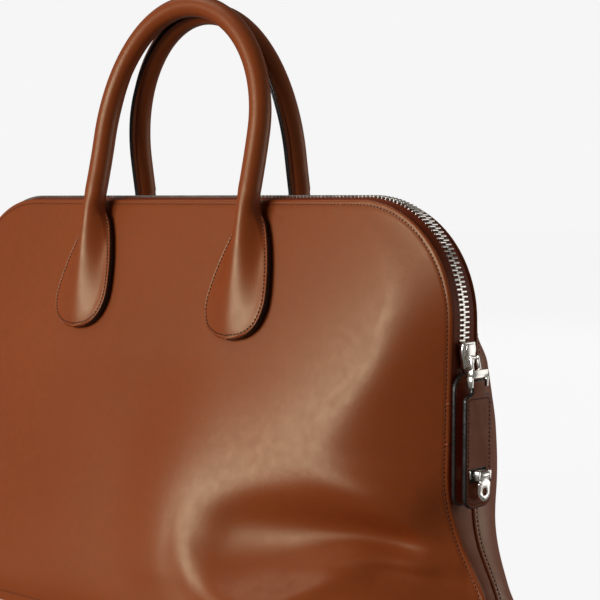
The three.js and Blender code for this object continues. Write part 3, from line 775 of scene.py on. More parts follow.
def panel_mesh(facing):
    bm = bmesh.new()
    bmesh.ops.create_grid(bm, x_segments=PANEL_COLUMNS, y_segments=PANEL_ROWS, size=1)
    across = bm.verts.layers.float.new("across")
    for vert in bm.verts:
        row = round((vert.co.y + 1) / 2 * PANEL_ROWS)
        vert[across] = column_side(vert.co.x)
        vert.co = panel_place(vert[across], row_level(row), facing)
    sewn = bm.verts.layers.float.new("near_seam")
    rim = rim_tree(facing)
    inner = set(extruded(bm, bm.faces))
    for face in bm.faces:
        face.material_index = 1 if 0 < len(inner.intersection(face.verts)) < len(face.verts) else 0
    for vert in bm.verts:
        way = panel_normal(vert[across], vert.co.z, facing)
        if vert in inner:
            vert.co -= way * WALL
            continue
        edge = rim.find(vert.co)[2]
        groove = max(sewn_groove(edge, RIM_STITCH), sewn_groove(vert.co.z - FOOT, FOOT_STITCH))
        turned = max(0, 1 - edge / TURNED_WIDE) ** 2
        # near_seam keeps the groove's depth; the leather reads it as painted shade along the stitch
        # groove
        vert[sewn] = groove
        vert.co -= way * (GROOVE_DEEP * groove + TURNED_DEEP * turned)
    bmesh.ops.recalc_face_normals(bm, faces=bm.faces)
    return bm


def make_panels():
    for facing, name in ((-1, "front_panel"), (1, "back_panel")):
        leather = panel_mesh(facing)
        finish_piece(name + "_leather", leather, [LEATHER, STRAP], [name], sharp=PANEL_SHARP)


# A few stitches: each is a short thick thread that is a little sunk in the leather
def stitch_batch(steps):
    bm = bmesh.new()
    for point, along, normal in steps:
        run = along.normalized()
        up = (normal - run * normal.dot(run)).normalized()
        turn = Matrix((run, up.cross(run), up)).transposed().to_4x4()
        turn = Matrix.Rotation(chance.uniform(-STITCH_TWIST, STITCH_TWIST), 4, up) @ turn
        shape = Matrix.Diagonal((STITCH_LONG / 2, STITCH_THICK / 2, STITCH_THICK / 2, 1))
        lift = Matrix.Translation(point - up * STITCH_SUNK)
        bmesh.ops.create_uvsphere(bm, u_segments=6, v_segments=4, radius=1, matrix=lift @ turn @ shape)
    return bm


def stitch_mesh(steps):
    batches = range(0, len(steps), STITCH_BATCH)
    return join_meshes([stitch_batch(steps[first:first + STITCH_BATCH]) for first in batches])


# Stitches along a panel's rim and along its foot
def panel_sewing(facing):
    def normal(side, up):
        return panel_normal(side, up, facing)

    def place(side, up):
        return panel_place(side, up, facing) - normal(side, up) * PANEL_STITCH_SUNK

    foot_run = []
    for i in range(FOOT_STEPS + 1):
        foot_run.append((FOOT_SIDE - 2 * FOOT_SIDE * i / FOOT_STEPS, FOOT + FOOT_STITCH))
    runs = (rim_run(RIM_STITCH, facing), foot_run)
    return join_meshes([stitch_mesh(sewing_steps(run, place, normal, STITCH_PITCH)) for run in runs])


def make_panel_sewing():
    for facing, name in ((-1, "front"), (1, "back")):
        finish_piece(name + "_panel_sewing", panel_sewing(facing), [RIM_THREAD])


# Two tacks over the front panel's rim hold the tab at the right end
def make_tacks():
    tacks = bmesh.new()
    shape = Matrix.Diagonal((*TACK_SIZE, 1))
    for up in TACKS_UP:
        place = Matrix.Translation(panel_place(TACK_SIDE, up))
        bmesh.ops.create_uvsphere(tacks, u_segments=8, v_segments=6, radius=1, matrix=place @ shape)
    finish_piece("rim_tacks", tacks, [TACK_THREAD])


# Zip

# Half of the zip's line between the panels: up an end, round a corner and along the top
ZIP_PARTS = (CORNER_UP - ZIP_END, TOP_CORNER * math.pi / 2, TOP_STRAIGHT)
ZIP_LENGTH = 2 * sum(ZIP_PARTS)


# A place on the zip's line and its normal; `t` runs from 0 at the right end to 1 at the left
def zip_place(t):
    side = 1 if t < 0.5 else -1
    along = min(t, 1 - t) * ZIP_LENGTH
    if along <= ZIP_PARTS[0]:
        up = ZIP_END + along
        slope = (section(round(up + 1, 4))[0] - section(round(up - 1, 4))[0]) / 2
        normal = Vector((1, 0, -slope)).normalized()
        normal.x *= side
        return Vector((side * section(round(up, 4))[0], 0, up)), normal
    along -= ZIP_PARTS[0]
    if along <= ZIP_PARTS[1]:
        angle = along / TOP_CORNER
        normal = Vector((side * math.cos(angle), 0, math.sin(angle)))
        return Vector((side * TOP_STRAIGHT, 0, CORNER_UP)) + normal * TOP_CORNER, normal
    along -= ZIP_PARTS[1]
    return Vector((side * (TOP_STRAIGHT - along), 0, TOP)), Vector((0, 0, 1))


# The zip stands a little proud of the panels along the top
def zip_lift(normal):
    return ZIP_LIFT * smooth_step(normal.z, *ZIP_LIFT_RANGE)


def tape_mesh(facing):
    bm = bmesh.new()
    bmesh.ops.create_grid(bm, x_segments=280, y_segments=6, size=0.5)
    for vert in bm.verts:
        t = vert.co.x + 0.5
        across = vert.co.y + 0.5
        point, normal = zip_place(t)
        outer = TAPE_TOP_HALF if point.z > TOP - TAPE_TOP_BAND else TAPE_END_HALF
        swell = TAPE_SWELL * math.sin(across * math.pi)
        swell += zip_lift(normal) * math.cos(across * math.pi / 2)
        place = point - normal * (TAPE_LEVEL - swell)
        place.y = facing * blend(TAPE_GAP, outer, across)
        vert.co = place
    if facing < 0:
        bmesh.ops.reverse_faces(bm, faces=bm.faces)
    return bm


def tooth_mesh(first, last):
    bm = bmesh.new()
    for i in range(first, last):
        t = (i + 0.5) * TOOTH_PITCH / 2 / ZIP_LENGTH
        facing = 1 if i % 2 else -1
        point, normal = zip_place(t)
        ahead = zip_place(t + 0.001)[0]
        run = (ahead - point).normalized()
        side = normal.cross(run)
        middle = facing * (TOOTH_REACH - TOOTH_CROSS) / 2
        centre = point + Vector((0, middle, 0)) - normal * (TOOTH_SUNK - zip_lift(normal))
        turn = Matrix((run, side, normal)).transposed().to_4x4()
        shape = Matrix.Diagonal((TOOTH_LONG, TOOTH_REACH + TOOTH_CROSS, TOOTH_HIGH, 1))
        bmesh.ops.create_cube(bm, size=1, matrix=Matrix.Translation(centre) @ turn @ shape)
    round_edges(bm, bm.edges, TOOTH_EDGE, segments=1)
    return bm


def make_zip():
    for facing, name in ((-1, "zip_tape_front"), (1, "zip_tape_back")):
        piece = finish_piece(name + "_cloth", tape_mesh(facing), [FACING], [name])
        add_wall(piece, TAPE)
    end = int(ZIP_LENGTH / (TOOTH_PITCH / 2)) - LAST_TEETH
    start = int(SLIDER_ROOM / (TOOTH_PITCH / 2))
    batches = range(start, end, TOOTH_BATCH)
    teeth = [tooth_mesh(first, min(first + TOOTH_BATCH, end)) for first in batches]
    finish_piece("zip_teeth", join_meshes(teeth), [NICKEL], ["zip_chain"], smooth=False)


# Gussets and base

GUSSET_THICK = 1.4
GUSSET_SUNK = 1.3
GUSSET_SWELL = 1.0
GUSSET_LAP = 0.6


def gusset_mesh(side):
    bm = bmesh.new()
    bmesh.ops.create_grid(bm, x_segments=16, y_segments=70, size=1)
    for vert in bm.verts:
        up = blend(FOOT, ZIP_END, (vert.co.y + 1) / 2)
        wide, seam = section(round(up, 4))[:2]
        swell = GUSSET_SWELL * (1 - vert.co.x ** 2)
        vert.co = (side * (wide - GUSSET_SUNK + swell), vert.co.x * (seam + GUSSET_LAP), up)
    if side < 0:
        bmesh.ops.reverse_faces(bm, faces=bm.faces)
    return bm


# Steps round the base, steps on each straight part, and its rings as levels and insets
BASE_TURNS = 192
BASE_STRAIGHT = 12
BASE_RINGS = ((0, 6.5), (0.7, 4.9), (2.0, 3.7), (3.4, 3.1), (14, 3.1))


# A place on the plan outline of the base, `turn` steps round from the right end
def base_place(turn, up, inset):
    quarter = BASE_TURNS // 4
    quadrant = turn // quarter
    wide, seam, bulge, corner = section(round(up, 4), 1 if quadrant < 2 else -1)[:4]
    part = turn % quarter
    q = part if quadrant % 2 == 0 else quarter - part
    steps = quarter - BASE_STRAIGHT
    point = Vector((wide, 0))
    normal = Vector((1, 0))
    if 0 < q <= steps:
        angle = (1 - (q - 1) / (steps - 1)) * math.pi / 2
        point = Vector((wide - corner + corner * math.sin(angle), seam + bulge * math.cos(angle)))
        normal = Vector((math.sin(angle) / corner, math.cos(angle) / bulge)).normalized()
    elif q > steps:
        u = 1 - (q - steps) / (quarter - steps)
        point = Vector(((wide - corner) * u, seam + bulge))
        normal = Vector((0, 1))
    point -= normal * inset
    if quadrant in (1, 2):
        point.x *= -1
    if quadrant > 1:
        point.y *= -1
    return Vector((point.x, point.y, up))


def base_mesh():
    bm = bmesh.new()
    bmesh.ops.create_grid(bm, x_segments=BASE_TURNS, y_segments=len(BASE_RINGS) - 1, size=0.5)
    for vert in bm.verts:
        turn = round((vert.co.x + 0.5) * BASE_TURNS) % BASE_TURNS
        ring = round((vert.co.y + 0.5) * (len(BASE_RINGS) - 1))
        vert.co = base_place(turn, *BASE_RINGS[ring])
    bmesh.ops.remove_doubles(bm, verts=bm.verts, dist=1e-4)
    floor = [edge for edge in bm.edges if edge.is_boundary and edge.verts[0].co.z < 0.1]
    bmesh.ops.contextual_create(bm, geom=floor)
    bmesh.ops.recalc_face_normals(bm, faces=bm.faces)
    return bm


def make_ends():
    for side, name in ((1, "gusset_right"), (-1, "gusset_left")):
        piece = finish_piece(name + "_leather", gusset_mesh(side), [STRAP], [name])
        add_wall(piece, GUSSET_THICK)
    piece = finish_piece("base_leather", base_mesh(), [LEATHER], ["base_panel"])
    add_wall(piece, WALL)


# Handles

PADDLE_STEPS = 44
LEG_STEPS = 12
LEG_LOW = 6
ARCH_STEPS = 72
HALF_POINTS = 26
HANDLE_SHARP = 50
RIDGE_FADE = (0.45, 0.85)

# Flange of a paddle, with a dip along its stitches: distances inside the edge and depths
FLANGE_WIDE = 3.7
FLANGE_FULL_HALF = 7
MOUND_POWER = 0.85
SEWN_DIP = ((0.9, 0.0), (1.6, 0.12), (2.3, 0.4), (3.0, 0.12))

# Points of a half section that begin a paddle's face, and those that carry edge paint
PADDLE_FACE = 9
PADDLE_PAINT = (7, 9)
SEAM_PAINT = 4

# Distance down the panel at which the tube's seam becomes a paddle's edge
PADDLE_BEGINS = 9


# Half of a handle's section above the panel, from the middle of its seam to the middle of its front
def half_tube(ridge):
    low = -TUBE_R - ridge
    notch = 0.6 * ridge / RIDGE
    points = [(0, low + notch), (0.3, low + notch * 0.25), (0.75, low), (1.25, low + notch * 0.2)]
    points += [(1.6, low + notch * 0.8), (1.75, -TUBE_R - ridge * 0.3), (2.05, -TUBE_R + 0.32)]
    for k in range(20):
        angle = math.radians(-70 + 160 * k / 19)
        points.append((TUBE_R * math.cos(angle), TUBE_R * math.sin(angle)))
    return points


# Half of a paddle's section: its underside, its painted edge, a flat flange and a soft mound
def half_paddle(half, top, mound):
    flange = PADDLE_LOW + PADDLE_EDGE
    near = min(1, half / FLANGE_FULL_HALF)
    points = [((half - 0.3) * k / 6, PADDLE_LOW) for k in range(7)]
    points += [(half, PADDLE_LOW + 0.7), (half, flange - 0.8), (half - 0.3 * near, flange - 0.2)]
    for inside, sunk in SEWN_DIP:
        points.append((half - inside * near, flange - sunk))
    inner = half - FLANGE_WIDE * near
    for k in range(13):
        across = inner * (1 - k / 12)
        hump = 0.5 + 0.5 * math.cos(math.pi * min(across / mound, 1))
        points.append((across, flange + (top - flange) * hump ** MOUND_POWER))
    return points


# Rows of a handle from its right paddle's end, over the arch, to its left paddle's end
def handle_rows(arch):
    last = PADDLE[-1]["down"]
    half = []
    for k in range(PADDLE_STEPS + 1):
        half.append({"down": last * math.cos(k / PADDLE_STEPS * math.pi / 2) ** 0.8})
    for k in range(LEG_STEPS):
        half.append({"rise": blend(LEG_LOW, arch["straight"], k / (LEG_STEPS - 1))})
    rows = [dict(row, side=1) for row in half]
    for k in range(1, ARCH_STEPS):
        rows.append({"angle": math.pi * k / ARCH_STEPS, "side": 1})
    rows += [dict(row, side=-1) for row in reversed(half)]
    return rows


# Frame of one row on the front: its centre, the way across the tube and the way out of the bag
def handle_frame(row, arch):
    if "down" in row:
        slope = Vector((0, FRONT_SLOPE, 1)).normalized()
        centre = Vector((row["side"] * HANDLE_X, -SEAM_HALF, TOP)) - slope * row["down"]
        return centre, Vector((row["side"], 0, 0)), Vector((0, -1, FRONT_SLOPE)).normalized()
    high = arch["apex"] - arch["straight"]
    if "rise" in row:
        up = row["rise"]
        x = row["side"] * HANDLE_X
        angle = 0 if row["side"] > 0 else math.pi
    else:
        angle = row["angle"]
        up = arch["straight"] + high * math.sin(angle)
        x = HANDLE_X * math.cos(angle)
    centre = Vector((x, -(arch["away"] + arch["lean"] * up + arch["curl"] * up * up), TOP + up))
    turn = -(arch["lean"] + 2 * arch["curl"] * up)
    outward = Vector((0, -1, turn)).normalized()
    run = Vector((-HANDLE_X * math.sin(angle), turn * high * math.cos(angle), high * math.cos(angle)))
    return centre, run.cross(outward).normalized(), outward


# Points of one row's half section, as distances across the tube and out of the bag
def handle_half(row, arch):
    climb = 0
    if "down" not in row:
        climb = max(0, handle_frame(row, arch)[0].z - TOP) / arch["apex"]
    ridge = blend(RIDGE, RIDGE_TOP, smooth_step(climb, *RIDGE_FADE))
    tube = half_tube(ridge)
    if "down" not in row:
        return tube
    part = {name: read(PADDLE, "down", name, row["down"]) for name in PADDLE_COLUMNS[1:]}
    opened = min(max(part["open"], 0), 1)
    paddle = half_paddle(max(part["half"], 0.5), part["top"], part["mound"])
    axis = part["top"] - TUBE_R
    return [
        (blend(a[0], b[0], opened), blend(a[1] + axis, b[1], opened)) for a, b in zip(tube, paddle)]


def handle_mesh(arch):
    rows = handle_rows(arch)
    ring = 2 * HALF_POINTS
    bm = bmesh.new()
    bmesh.ops.create_grid(bm, x_segments=len(rows) - 1, y_segments=ring, size=0.5)
    row_layer = bm.verts.layers.int.new("row")
    ring_layer = bm.verts.layers.int.new("ring")
    frames = [handle_frame(row, arch) for row in rows]
    halves = [handle_half(row, arch) for row in rows]
    for vert in bm.verts:
        r = round((vert.co.x + 0.5) * (len(rows) - 1))
        i = round((vert.co.y + 0.5) * ring)
        vert[row_layer] = r
        vert[ring_layer] = min(i, ring - i)
        across, out = halves[r][min(i, ring - i)]
        centre, way, outward = frames[r]
        place = centre + way * (across if i <= HALF_POINTS else -across) + outward * out
        place.y *= -arch["facing"]
        vert.co = place
    for face in bm.faces:
        down = rows[max(vert[row_layer] for vert in face.verts)].get("down", 0)
        far = max(vert[ring_layer] for vert in face.verts)
        painted = far <= SEAM_PAINT
        if down > PADDLE_BEGINS:
            painted = PADDLE_PAINT[0] <= far <= PADDLE_PAINT[1]
        face.material_index = 1 if painted else 0
    bmesh.ops.remove_doubles(bm, verts=bm.verts, dist=1e-4)
    ends = [edge for edge in bm.edges if edge.is_boundary]
    bmesh.ops.holes_fill(bm, edges=ends, sides=0)
    bmesh.ops.recalc_face_normals(bm, faces=bm.faces)
    return bm


# Line of a paddle's stitches, inside its edge
def paddle_outline(inset, steps=60):
    right = []
    for k in range(steps + 1):
        down = blend(PADDLE_SEW_FROM, PADDLE[-1]["down"], math.sin(k / steps * math.pi / 2))
        right.append(Vector((max(read(PADDLE, "down", "half", down), 0), down)))
    line = right + [Vector((-p.x, p.y)) for p in reversed(right[:-1])]
    moved = []
    for k, point in enumerate(line):
        run = (line[min(k + 1, len(line) - 1)] - line[max(k - 1, 0)]).normalized()
        moved.append(point + Vector((-run.y, run.x)) * inset)
    return moved


# How far a paddle's face stands out of the bag
def paddle_height(across, down, arch):
    face = handle_half({"down": down, "side": 1}, arch)[PADDLE_FACE:]
    for outer, inner in zip(face, face[1:]):
        if inner[0] <= abs(across) <= outer[0]:
            part = (abs(across) - inner[0]) / max(outer[0] - inner[0], 1e-6)
            return blend(inner[1], outer[1], part)
    return face[0][1]


def paddle_sewing(arch, side):
    def place(across, down):
        centre, _, outward = handle_frame({"down": down, "side": 1}, arch)
        lift = paddle_height(across, down, arch) + PADDLE_SEW_LIFT
        point = centre + Vector((across, 0, 0)) + outward * lift
        point.x += (side - 1) * HANDLE_X
        point.y *= -arch["facing"]
        return point

    def normal(across, down):
        return Vector((0, arch["facing"], FRONT_SLOPE)).normalized()

    run = [tuple(point) for point in paddle_outline(PADDLE_SEW_INSET)]
    return sewing_steps(run, place, normal, STITCH_PITCH)


# Half outline of the leather under a paddle, as distances across and down the panel
def backing_half():
    right = []
    for k in range(13):
        angle = k / 12 * math.pi / 2
        right.append((BACKING_HALF * math.sin(angle), BACKING_TOP + BACKING_HALF * (1 - math.cos(angle))))
    start = BACKING_TOP + BACKING_HALF
    for k in range(1, int((BACKING_LOW - start) / BACKING_STEP) + 1):
        down = start + k * BACKING_STEP
        right.append((max(read(PADDLE, "down", "half", down) - BACKING_INSIDE, 1), down))
    return right


def backing_mesh(facing, side):
    right = backing_half()
    outline = right + [(-across, down) for across, down in reversed(right[1:])]
    slope = Vector((0, -facing * FRONT_SLOPE, 1)).normalized()
    outward = Vector((0, facing, FRONT_SLOPE)).normalized()
    corner = Vector((side * HANDLE_X, facing * SEAM_HALF, TOP)) + outward * BACKING_GAP
    bm = bmesh.new()
    for across, down in outline:
        bm.verts.new(corner + Vector((across, 0, 0)) - slope * down)
    bmesh.ops.contextual_create(bm, geom=bm.verts)
    bmesh.ops.translate(bm, vec=outward * BACKING, verts=extruded(bm, bm.faces))
    bmesh.ops.recalc_face_normals(bm, faces=bm.faces)
    for face in bm.faces:
        face.material_index = 1 if len(face.verts) == 4 else 0
    round_edges(bm, hard_edges(bm, 1), BACKING_ROUND, material=1)
    return bm


def make_handles():
    finish = [LEATHER, EDGE_PAINT]
    for name, arch in ARCHES.items():
        node = "handle_" + name
        finish_piece(node + "_leather", handle_mesh(arch), finish, [node], sharp=HANDLE_SHARP)
        bm = join_meshes([stitch_mesh(paddle_sewing(arch, side)) for side in (1, -1)])
        finish_piece(node + "_sewing", bm, [THREAD])
        for side, end in ((1, "right"), (-1, "left")):
            node = "backing_" + name + "_" + end
            bm = backing_mesh(arch["facing"], side)
            finish_piece(node + "_leather", bm, finish, [node], smooth=False)


# Tabs and metal at the right end

TAB_SHARP = 40
METAL_SHARP = 35
CORNER_STEPS = 7
PULL_STEPS = 6

# Slider: a shield, a crown on it and an arched bail, with outlines across the end and up
SHIELD = (
    (-4.4, 167.6), (4.4, 167.6), (5.0, 172), (6.5, 178.6),
    (5.4, 183.4), (-5.4, 183.4), (-6.5, 178.6), (-5.0, 172),
)
SHIELD_THICK = 3.4
SHIELD_OUT = -0.3
SHIELD_ROUND = 0.8
CROWN_SCALE = (0.62, 0.86)
CROWN_LOW = 168.6
CROWN_THICK = 1.5
CROWN_OUT = 2.6
CROWN_ROUND = 0.6
BAIL_OUT = 3.2
BAIL_LOW = 170.4
BAIL_MIDDLE = 175.6
BAIL_R = 1.5

# Fork: a yoke and two prongs beside the pull's neck, and two arms to a pin under the bail
FORK_OUT = 0.2
YOKE_HALF = 7.6
YOKE_UP = (163.4, 168)
YOKE_THICK = 3.6
YOKE_ROUND = 0.5
PRONG_SIDES = (6.3, 8.0)
PRONG_WIDE = 1.7
PRONG_UP = (158.2, 164.4)
PRONG_X = (0.1, 3.5)
PRONG_ROUND = 0.4
ARM_SIZE = (2.2, 1.6, 9.5)
ARM_SIDE = 3.3
ARM_OUT = 6.6
ARM_UP = 171
ARM_LEAN = -0.2
ARM_ROUND = 0.45
PIN_R = 1.0
PIN_LONG = 8.4
PIN_OUT = 5.4
PIN_UP = 174.6

# Rounding of the clasp's edges
STAPLE_ROUND = 0.25
TONGUE_ROUND = 0.2


# Points along an arc, as places across the end and up
def arc(across, up, radius, start, turn, steps):
    points = []
    for k in range(steps + 1):
        angle = math.radians(start + turn * k / steps)
        points.append((across + radius * math.cos(angle), up + radius * math.sin(angle)))
    return points


# A rounded upright outline
def rounded_outline(half, low, high, low_radius, high_radius):
    corners = (
        (half - low_radius, low + low_radius, low_radius, -90),
        (half - high_radius, high - high_radius, high_radius, 0),
        (high_radius - half, high - high_radius, high_radius, 90),
        (low_radius - half, low + low_radius, low_radius, 180),
    )
    points = []
    for across, up, radius, start in corners:
        points += arc(across, up, radius, start, 90, CORNER_STEPS)
    return points


# Outline of the pull: a strap whose shoulders run in to a narrow neck
def pull_outline():
    low = PULL_LOW_CORNER
    high = PULL_HIGH_CORNER
    right = arc(PULL_HALF - low, PULL_LOW + low, low, -90, 90, CORNER_STEPS)
    right += arc(PULL_HALF - high, PULL_HIGH - high, high, 0, 90, PULL_STEPS)
    right += arc(NECK_HALF + NECK_CORNER, PULL_HIGH + NECK_CORNER, NECK_CORNER, 270, -90, PULL_STEPS)
    right.append((NECK_HALF, NECK_HIGH))
    return right + [(-across, up) for across, up in reversed(right)]


# Cuts a slot through a flat face, given its sides and its lower and upper edge
def cut_slot(bm, slot):
    left, right, low, high = slot
    across = (0, 1, 0)
    upright = (0, 0, 1)
    for at, way in ((left, across), (right, across), (low, upright), (high, upright)):
        everything = bm.verts[:] + bm.edges[:] + bm.faces[:]
        bmesh.ops.bisect_plane(bm, geom=everything, plane_co=Vector(way) * at, plane_no=way)
    inside = []
    for face in bm.faces:
        middle = face.calc_center_median()
        if left < middle.y < right and low < middle.z < high:
            inside.append(face)
    bmesh.ops.delete(bm, geom=inside, context="FACES")


# A plate cut to an outline, with its sides and rounded edges as the second material
def plate_mesh(outline, x, thick, rounding, slot=None):
    bm = bmesh.new()
    for across, up in outline:
        bm.verts.new((x, across, up))
    bmesh.ops.contextual_create(bm, geom=bm.verts)
    if slot:
        cut_slot(bm, slot)
    bmesh.ops.translate(bm, vec=(thick, 0, 0), verts=extruded(bm, bm.faces))
    bmesh.ops.recalc_face_normals(bm, faces=bm.faces)
    for face in bm.faces:
        face.material_index = 0 if abs(face.normal.x) > 0.5 else 1
    round_edges(bm, hard_edges(bm, 0.9), rounding, segments=3, material=1)
    bm.normal_update()
    for face in bm.faces:
        face.smooth = abs(face.normal.x) < 0.98
    return bm


# Stitches along an outline on an upright face
def outline_sewing(outline, x, facing):
    run = outline + [outline[0]]

    def place(across, up):
        return Vector((x, across, up))

    def normal(across, up):
        return Vector((facing, 0, 0))

    return sewing_steps(run, place, normal, TAB_SEW_PITCH)


def make_tabs():
    face = TAB_X + TAB_THICK
    base = rounded_outline(TAB_HALF, TAB_LOW, TAB_HIGH, *TAB_CORNERS)
    end = rounded_outline(TAB_HALF, END_TAB_LOW, END_TAB_HIGH, *TAB_CORNERS)
    plates = (
        ("base_tab", plate_mesh(base, TAB_X, TAB_THICK, TAB_ROUND)),
        ("end_tab", plate_mesh(end, -face, TAB_THICK, TAB_ROUND)),
        ("pull_tab", plate_mesh(pull_outline(), PULL_X, PULL_THICK, PULL_ROUND, PULL_SLOT)),
    )
    finish = [STRAP, EDGE_PAINT]
    for node, bm in plates:
        finish_piece(node + "_leather", bm, finish, [node], smooth=None, sharp=TAB_SHARP)
    rows = (
        (TAB_HALF, TAB_LOW, TAB_HIGH, TAB_SEW, TAB_SEW_CORNERS, face, 1),
        (TAB_HALF, END_TAB_LOW, END_TAB_HIGH, TAB_SEW, TAB_SEW_CORNERS, -face, -1),
        (PULL_HALF, PULL_LOW, PULL_HIGH, PULL_SEW, PULL_SEW_CORNERS, PULL_X + PULL_THICK, 1),
    )
    lines = []
    for half, low, high, inset, corners, x, facing in rows:
        run = rounded_outline(half - inset, low + inset, high - inset, *corners)
        lines.append(stitch_mesh(outline_sewing(run, x, facing)))
    finish_piece("tab_sewing", join_meshes(lines), [THREAD])


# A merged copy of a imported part, with its hard edges rounded
def rounded_copy(node, width):
    bm = bmesh.new()
    bm.from_mesh(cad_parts[node].data)
    bmesh.ops.scale(bm, vec=(1 / MM, 1 / MM, 1 / MM), verts=bm.verts)
    bmesh.ops.remove_doubles(bm, verts=bm.verts, dist=0.005)
    bmesh.ops.dissolve_limit(bm, angle_limit=0.02, verts=bm.verts, edges=bm.edges)
    round_edges(bm, hard_edges(bm, 0.7), width)
    return bm


def bail_mesh():
    bm = bmesh.new()
    foot = Matrix.Translation((TAB_X + BAIL_OUT, 0, BAIL_LOW)) @ Matrix.Rotation(math.pi / 2, 4, "Y")
    made = bmesh.ops.create_circle(bm, cap_ends=True, segments=12, radius=BAIL_R, matrix=foot)["verts"]
    bmesh.ops.spin(
        bm, geom=bm.faces[:] + bm.edges[:] + made, cent=(TAB_X + BAIL_OUT, 0, BAIL_MIDDLE),
        axis=(0, 1, 0), angle=math.pi, steps=16, use_merge=False)
    bmesh.ops.remove_doubles(bm, verts=bm.verts, dist=1e-4)
    bmesh.ops.recalc_face_normals(bm, faces=bm.faces)
    return bm


def slider_mesh():
    wide, high = CROWN_SCALE
    low = SHIELD[0][1]
    outline = [(across * wide, CROWN_LOW + (up - low) * high) for across, up in SHIELD]
    body = plate_mesh(SHIELD, TAB_X + SHIELD_OUT, SHIELD_THICK, SHIELD_ROUND)
    crown = plate_mesh(outline, TAB_X + CROWN_OUT, CROWN_THICK, CROWN_ROUND)
    for part in (body, crown):
        for face in part.faces:
            face.material_index = 0
    return join_meshes([body, crown, bail_mesh()])


# A block with rounded edges
def block_mesh(place, size, rounding):
    bm = bmesh.new()
    bmesh.ops.create_cube(bm, size=1, matrix=place @ Matrix.Diagonal((*size, 1)))
    round_edges(bm, bm.edges, rounding)
    return bm


def block_between(low, high, rounding):
    place = Matrix.Translation((Vector(high) + Vector(low)) / 2)
    return block_mesh(place, Vector(high) - Vector(low), rounding)


def fork_mesh():
    back = PULL_X + FORK_OUT
    low, high = YOKE_UP
    front = back + YOKE_THICK
    parts = [block_between((back, -YOKE_HALF, low), (front, YOKE_HALF, high), YOKE_ROUND)]
    low, high = PRONG_UP
    near, far = (back + x for x in PRONG_X)
    for side in (-1, 1):
        left = min(side * across for across in PRONG_SIDES)
        parts.append(block_between((near, left, low), (far, left + PRONG_WIDE, high), PRONG_ROUND))
    for side in (-1, 1):
        place = Matrix.Translation((TAB_X + ARM_OUT, side * ARM_SIDE, ARM_UP))
        parts.append(block_mesh(place @ Matrix.Rotation(ARM_LEAN, 4, "Y"), ARM_SIZE, ARM_ROUND))
    pin = bmesh.new()
    place = Matrix.Translation((TAB_X + PIN_OUT, 0, PIN_UP)) @ Matrix.Rotation(math.pi / 2, 4, "X")
    bmesh.ops.create_cone(
        pin, cap_ends=True, segments=14, radius1=PIN_R, radius2=PIN_R, depth=PIN_LONG, matrix=place)
    return join_meshes(parts + [pin])


def make_metal():
    parts = (
        ("zip_slider", slider_mesh(), "bag"),
        ("pull_fork", fork_mesh(), "bag"),
        ("clasp_staple", rounded_copy("clasp_staple", STAPLE_ROUND), "bag"),
        ("clasp_tongue", rounded_copy("clasp_tongue", TONGUE_ROUND), "tongue"),
    )
    for node, bm, body in parts:
        finish_piece(node + "_nickel", bm, [NICKEL], [node], body, sharp=METAL_SHARP)


# Camera, floor and light

AZIMUTH = math.radians(42)
PITCH = math.radians(3.65)
CAMERA_PLACE = (0.7496, -0.7295, 0.264)
LENS = 96
SENSOR = 36
FLOOR_R = 12


def make_camera():
    data = bpy.data.cameras.new("camera")
    data.lens = LENS
    data.sensor_width = SENSOR
    camera = add_object("camera", data)
    camera.location = CAMERA_PLACE
    camera.rotation_euler = (math.pi / 2 - PITCH, 0, AZIMUTH)
    bpy.context.scene.camera = camera


def make_floor():
    bm = bmesh.new()
    bmesh.ops.create_circle(bm, cap_ends=True, segments=96, radius=FLOOR_R)
    mesh = bpy.data.meshes.new("floor")
    bm.to_mesh(mesh)
    bm.free()
    mesh.materials.append(floor_material())
    floor = add_object("floor", mesh)
    floor.visible_diffuse = False
    floor.visible_glossy = False


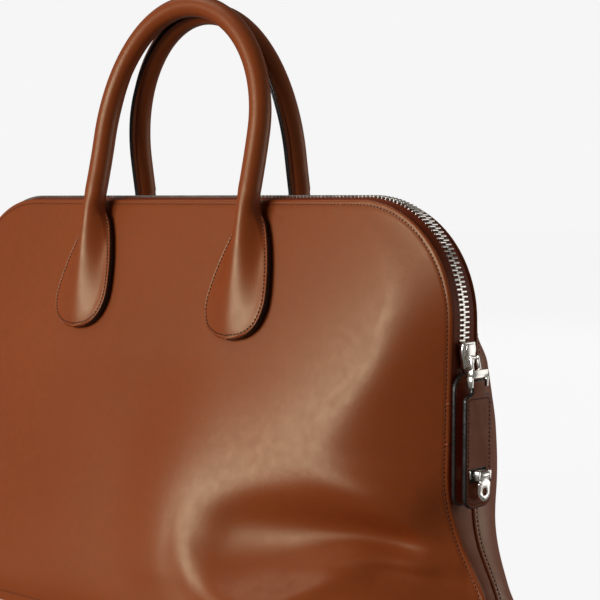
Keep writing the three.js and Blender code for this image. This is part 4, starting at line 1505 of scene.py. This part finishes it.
# A softbox aimed at the bag, by its bearing from the front, its height angle and its distance
def add_softbox(name, bearing, height, distance, size, power, aim=(0, 0, 0.15), shines=True):
    turn = math.radians(bearing)
    rise = math.radians(height)
    way = Vector((math.sin(turn) * math.cos(rise), -math.cos(turn) * math.cos(rise), math.sin(rise)))
    data = bpy.data.lights.new(name, "AREA")
    data.shape = "RECTANGLE"
    data.size = size[0]
    data.size_y = size[1]
    data.energy = power
    light = add_object(name, data)
    light.location = Vector(aim) + way * distance
    light.rotation_euler = way.to_track_quat("Z", "Y").to_euler()
    light.visible_camera = False
    light.visible_glossy = shines


def make_light():
    world = bpy.data.worlds.new("studio")
    bpy.context.scene.world = world
    world.use_nodes = True
    tree = world.node_tree
    fill = tree.nodes["Background"]
    fill.inputs["Color"].default_value = (1.0, 0.98, 0.96, 1)
    fill.inputs["Strength"].default_value = 0.05
    seen = add_node(tree, "ShaderNodeBackground", {"Color": (0.92, 0.92, 0.92, 1), "Strength": 1.0})
    path = add_node(tree, "ShaderNodeLightPath", {})
    room = add_node(tree, "ShaderNodeBackground", {"Color": (1.0, 0.95, 0.88, 1), "Strength": 0.14})
    lit = add_node(
        tree, "ShaderNodeMixShader",
        {0: path.outputs["Is Glossy Ray"], 1: fill.outputs[0], 2: room.outputs[0]})
    mixed = add_node(
        tree, "ShaderNodeMixShader",
        {0: path.outputs["Is Camera Ray"], 1: lit.outputs[0], 2: seen.outputs[0]})
    tree.links.new(mixed.outputs[0], tree.nodes["World Output"].inputs["Surface"])
    add_softbox("front softbox", -15, 14, 2.3, (1.2, 0.9), 35)
    add_softbox("left softbox", -58, 8, 2.2, (0.9, 0.6), 3, shines=False)
    add_softbox("high softbox", -62, 60, 2.2, (1.1, 1.1), 6)
    add_softbox("right card", 145, 6, 1.6, (0.9, 0.8), 2.4)
    add_softbox("right fill", 125, 14, 1.6, (1.2, 1.0), 2.6, shines=False)
    add_softbox("back fill", 200, 25, 2.4, (1.4, 1.0), 7, shines=False)
    add_softbox("low card", 145, -9, 0.35, (0.14, 0.1), 0.05, (TAB_X * MM, 0, CLASP_UP * MM))


make_camera()
make_floor()
make_light()
make_panels()
make_panel_sewing()
make_tacks()
make_zip()
make_ends()
make_handles()
make_tabs()
make_metal()
bpy.context.scene.view_settings.view_transform = "Standard"
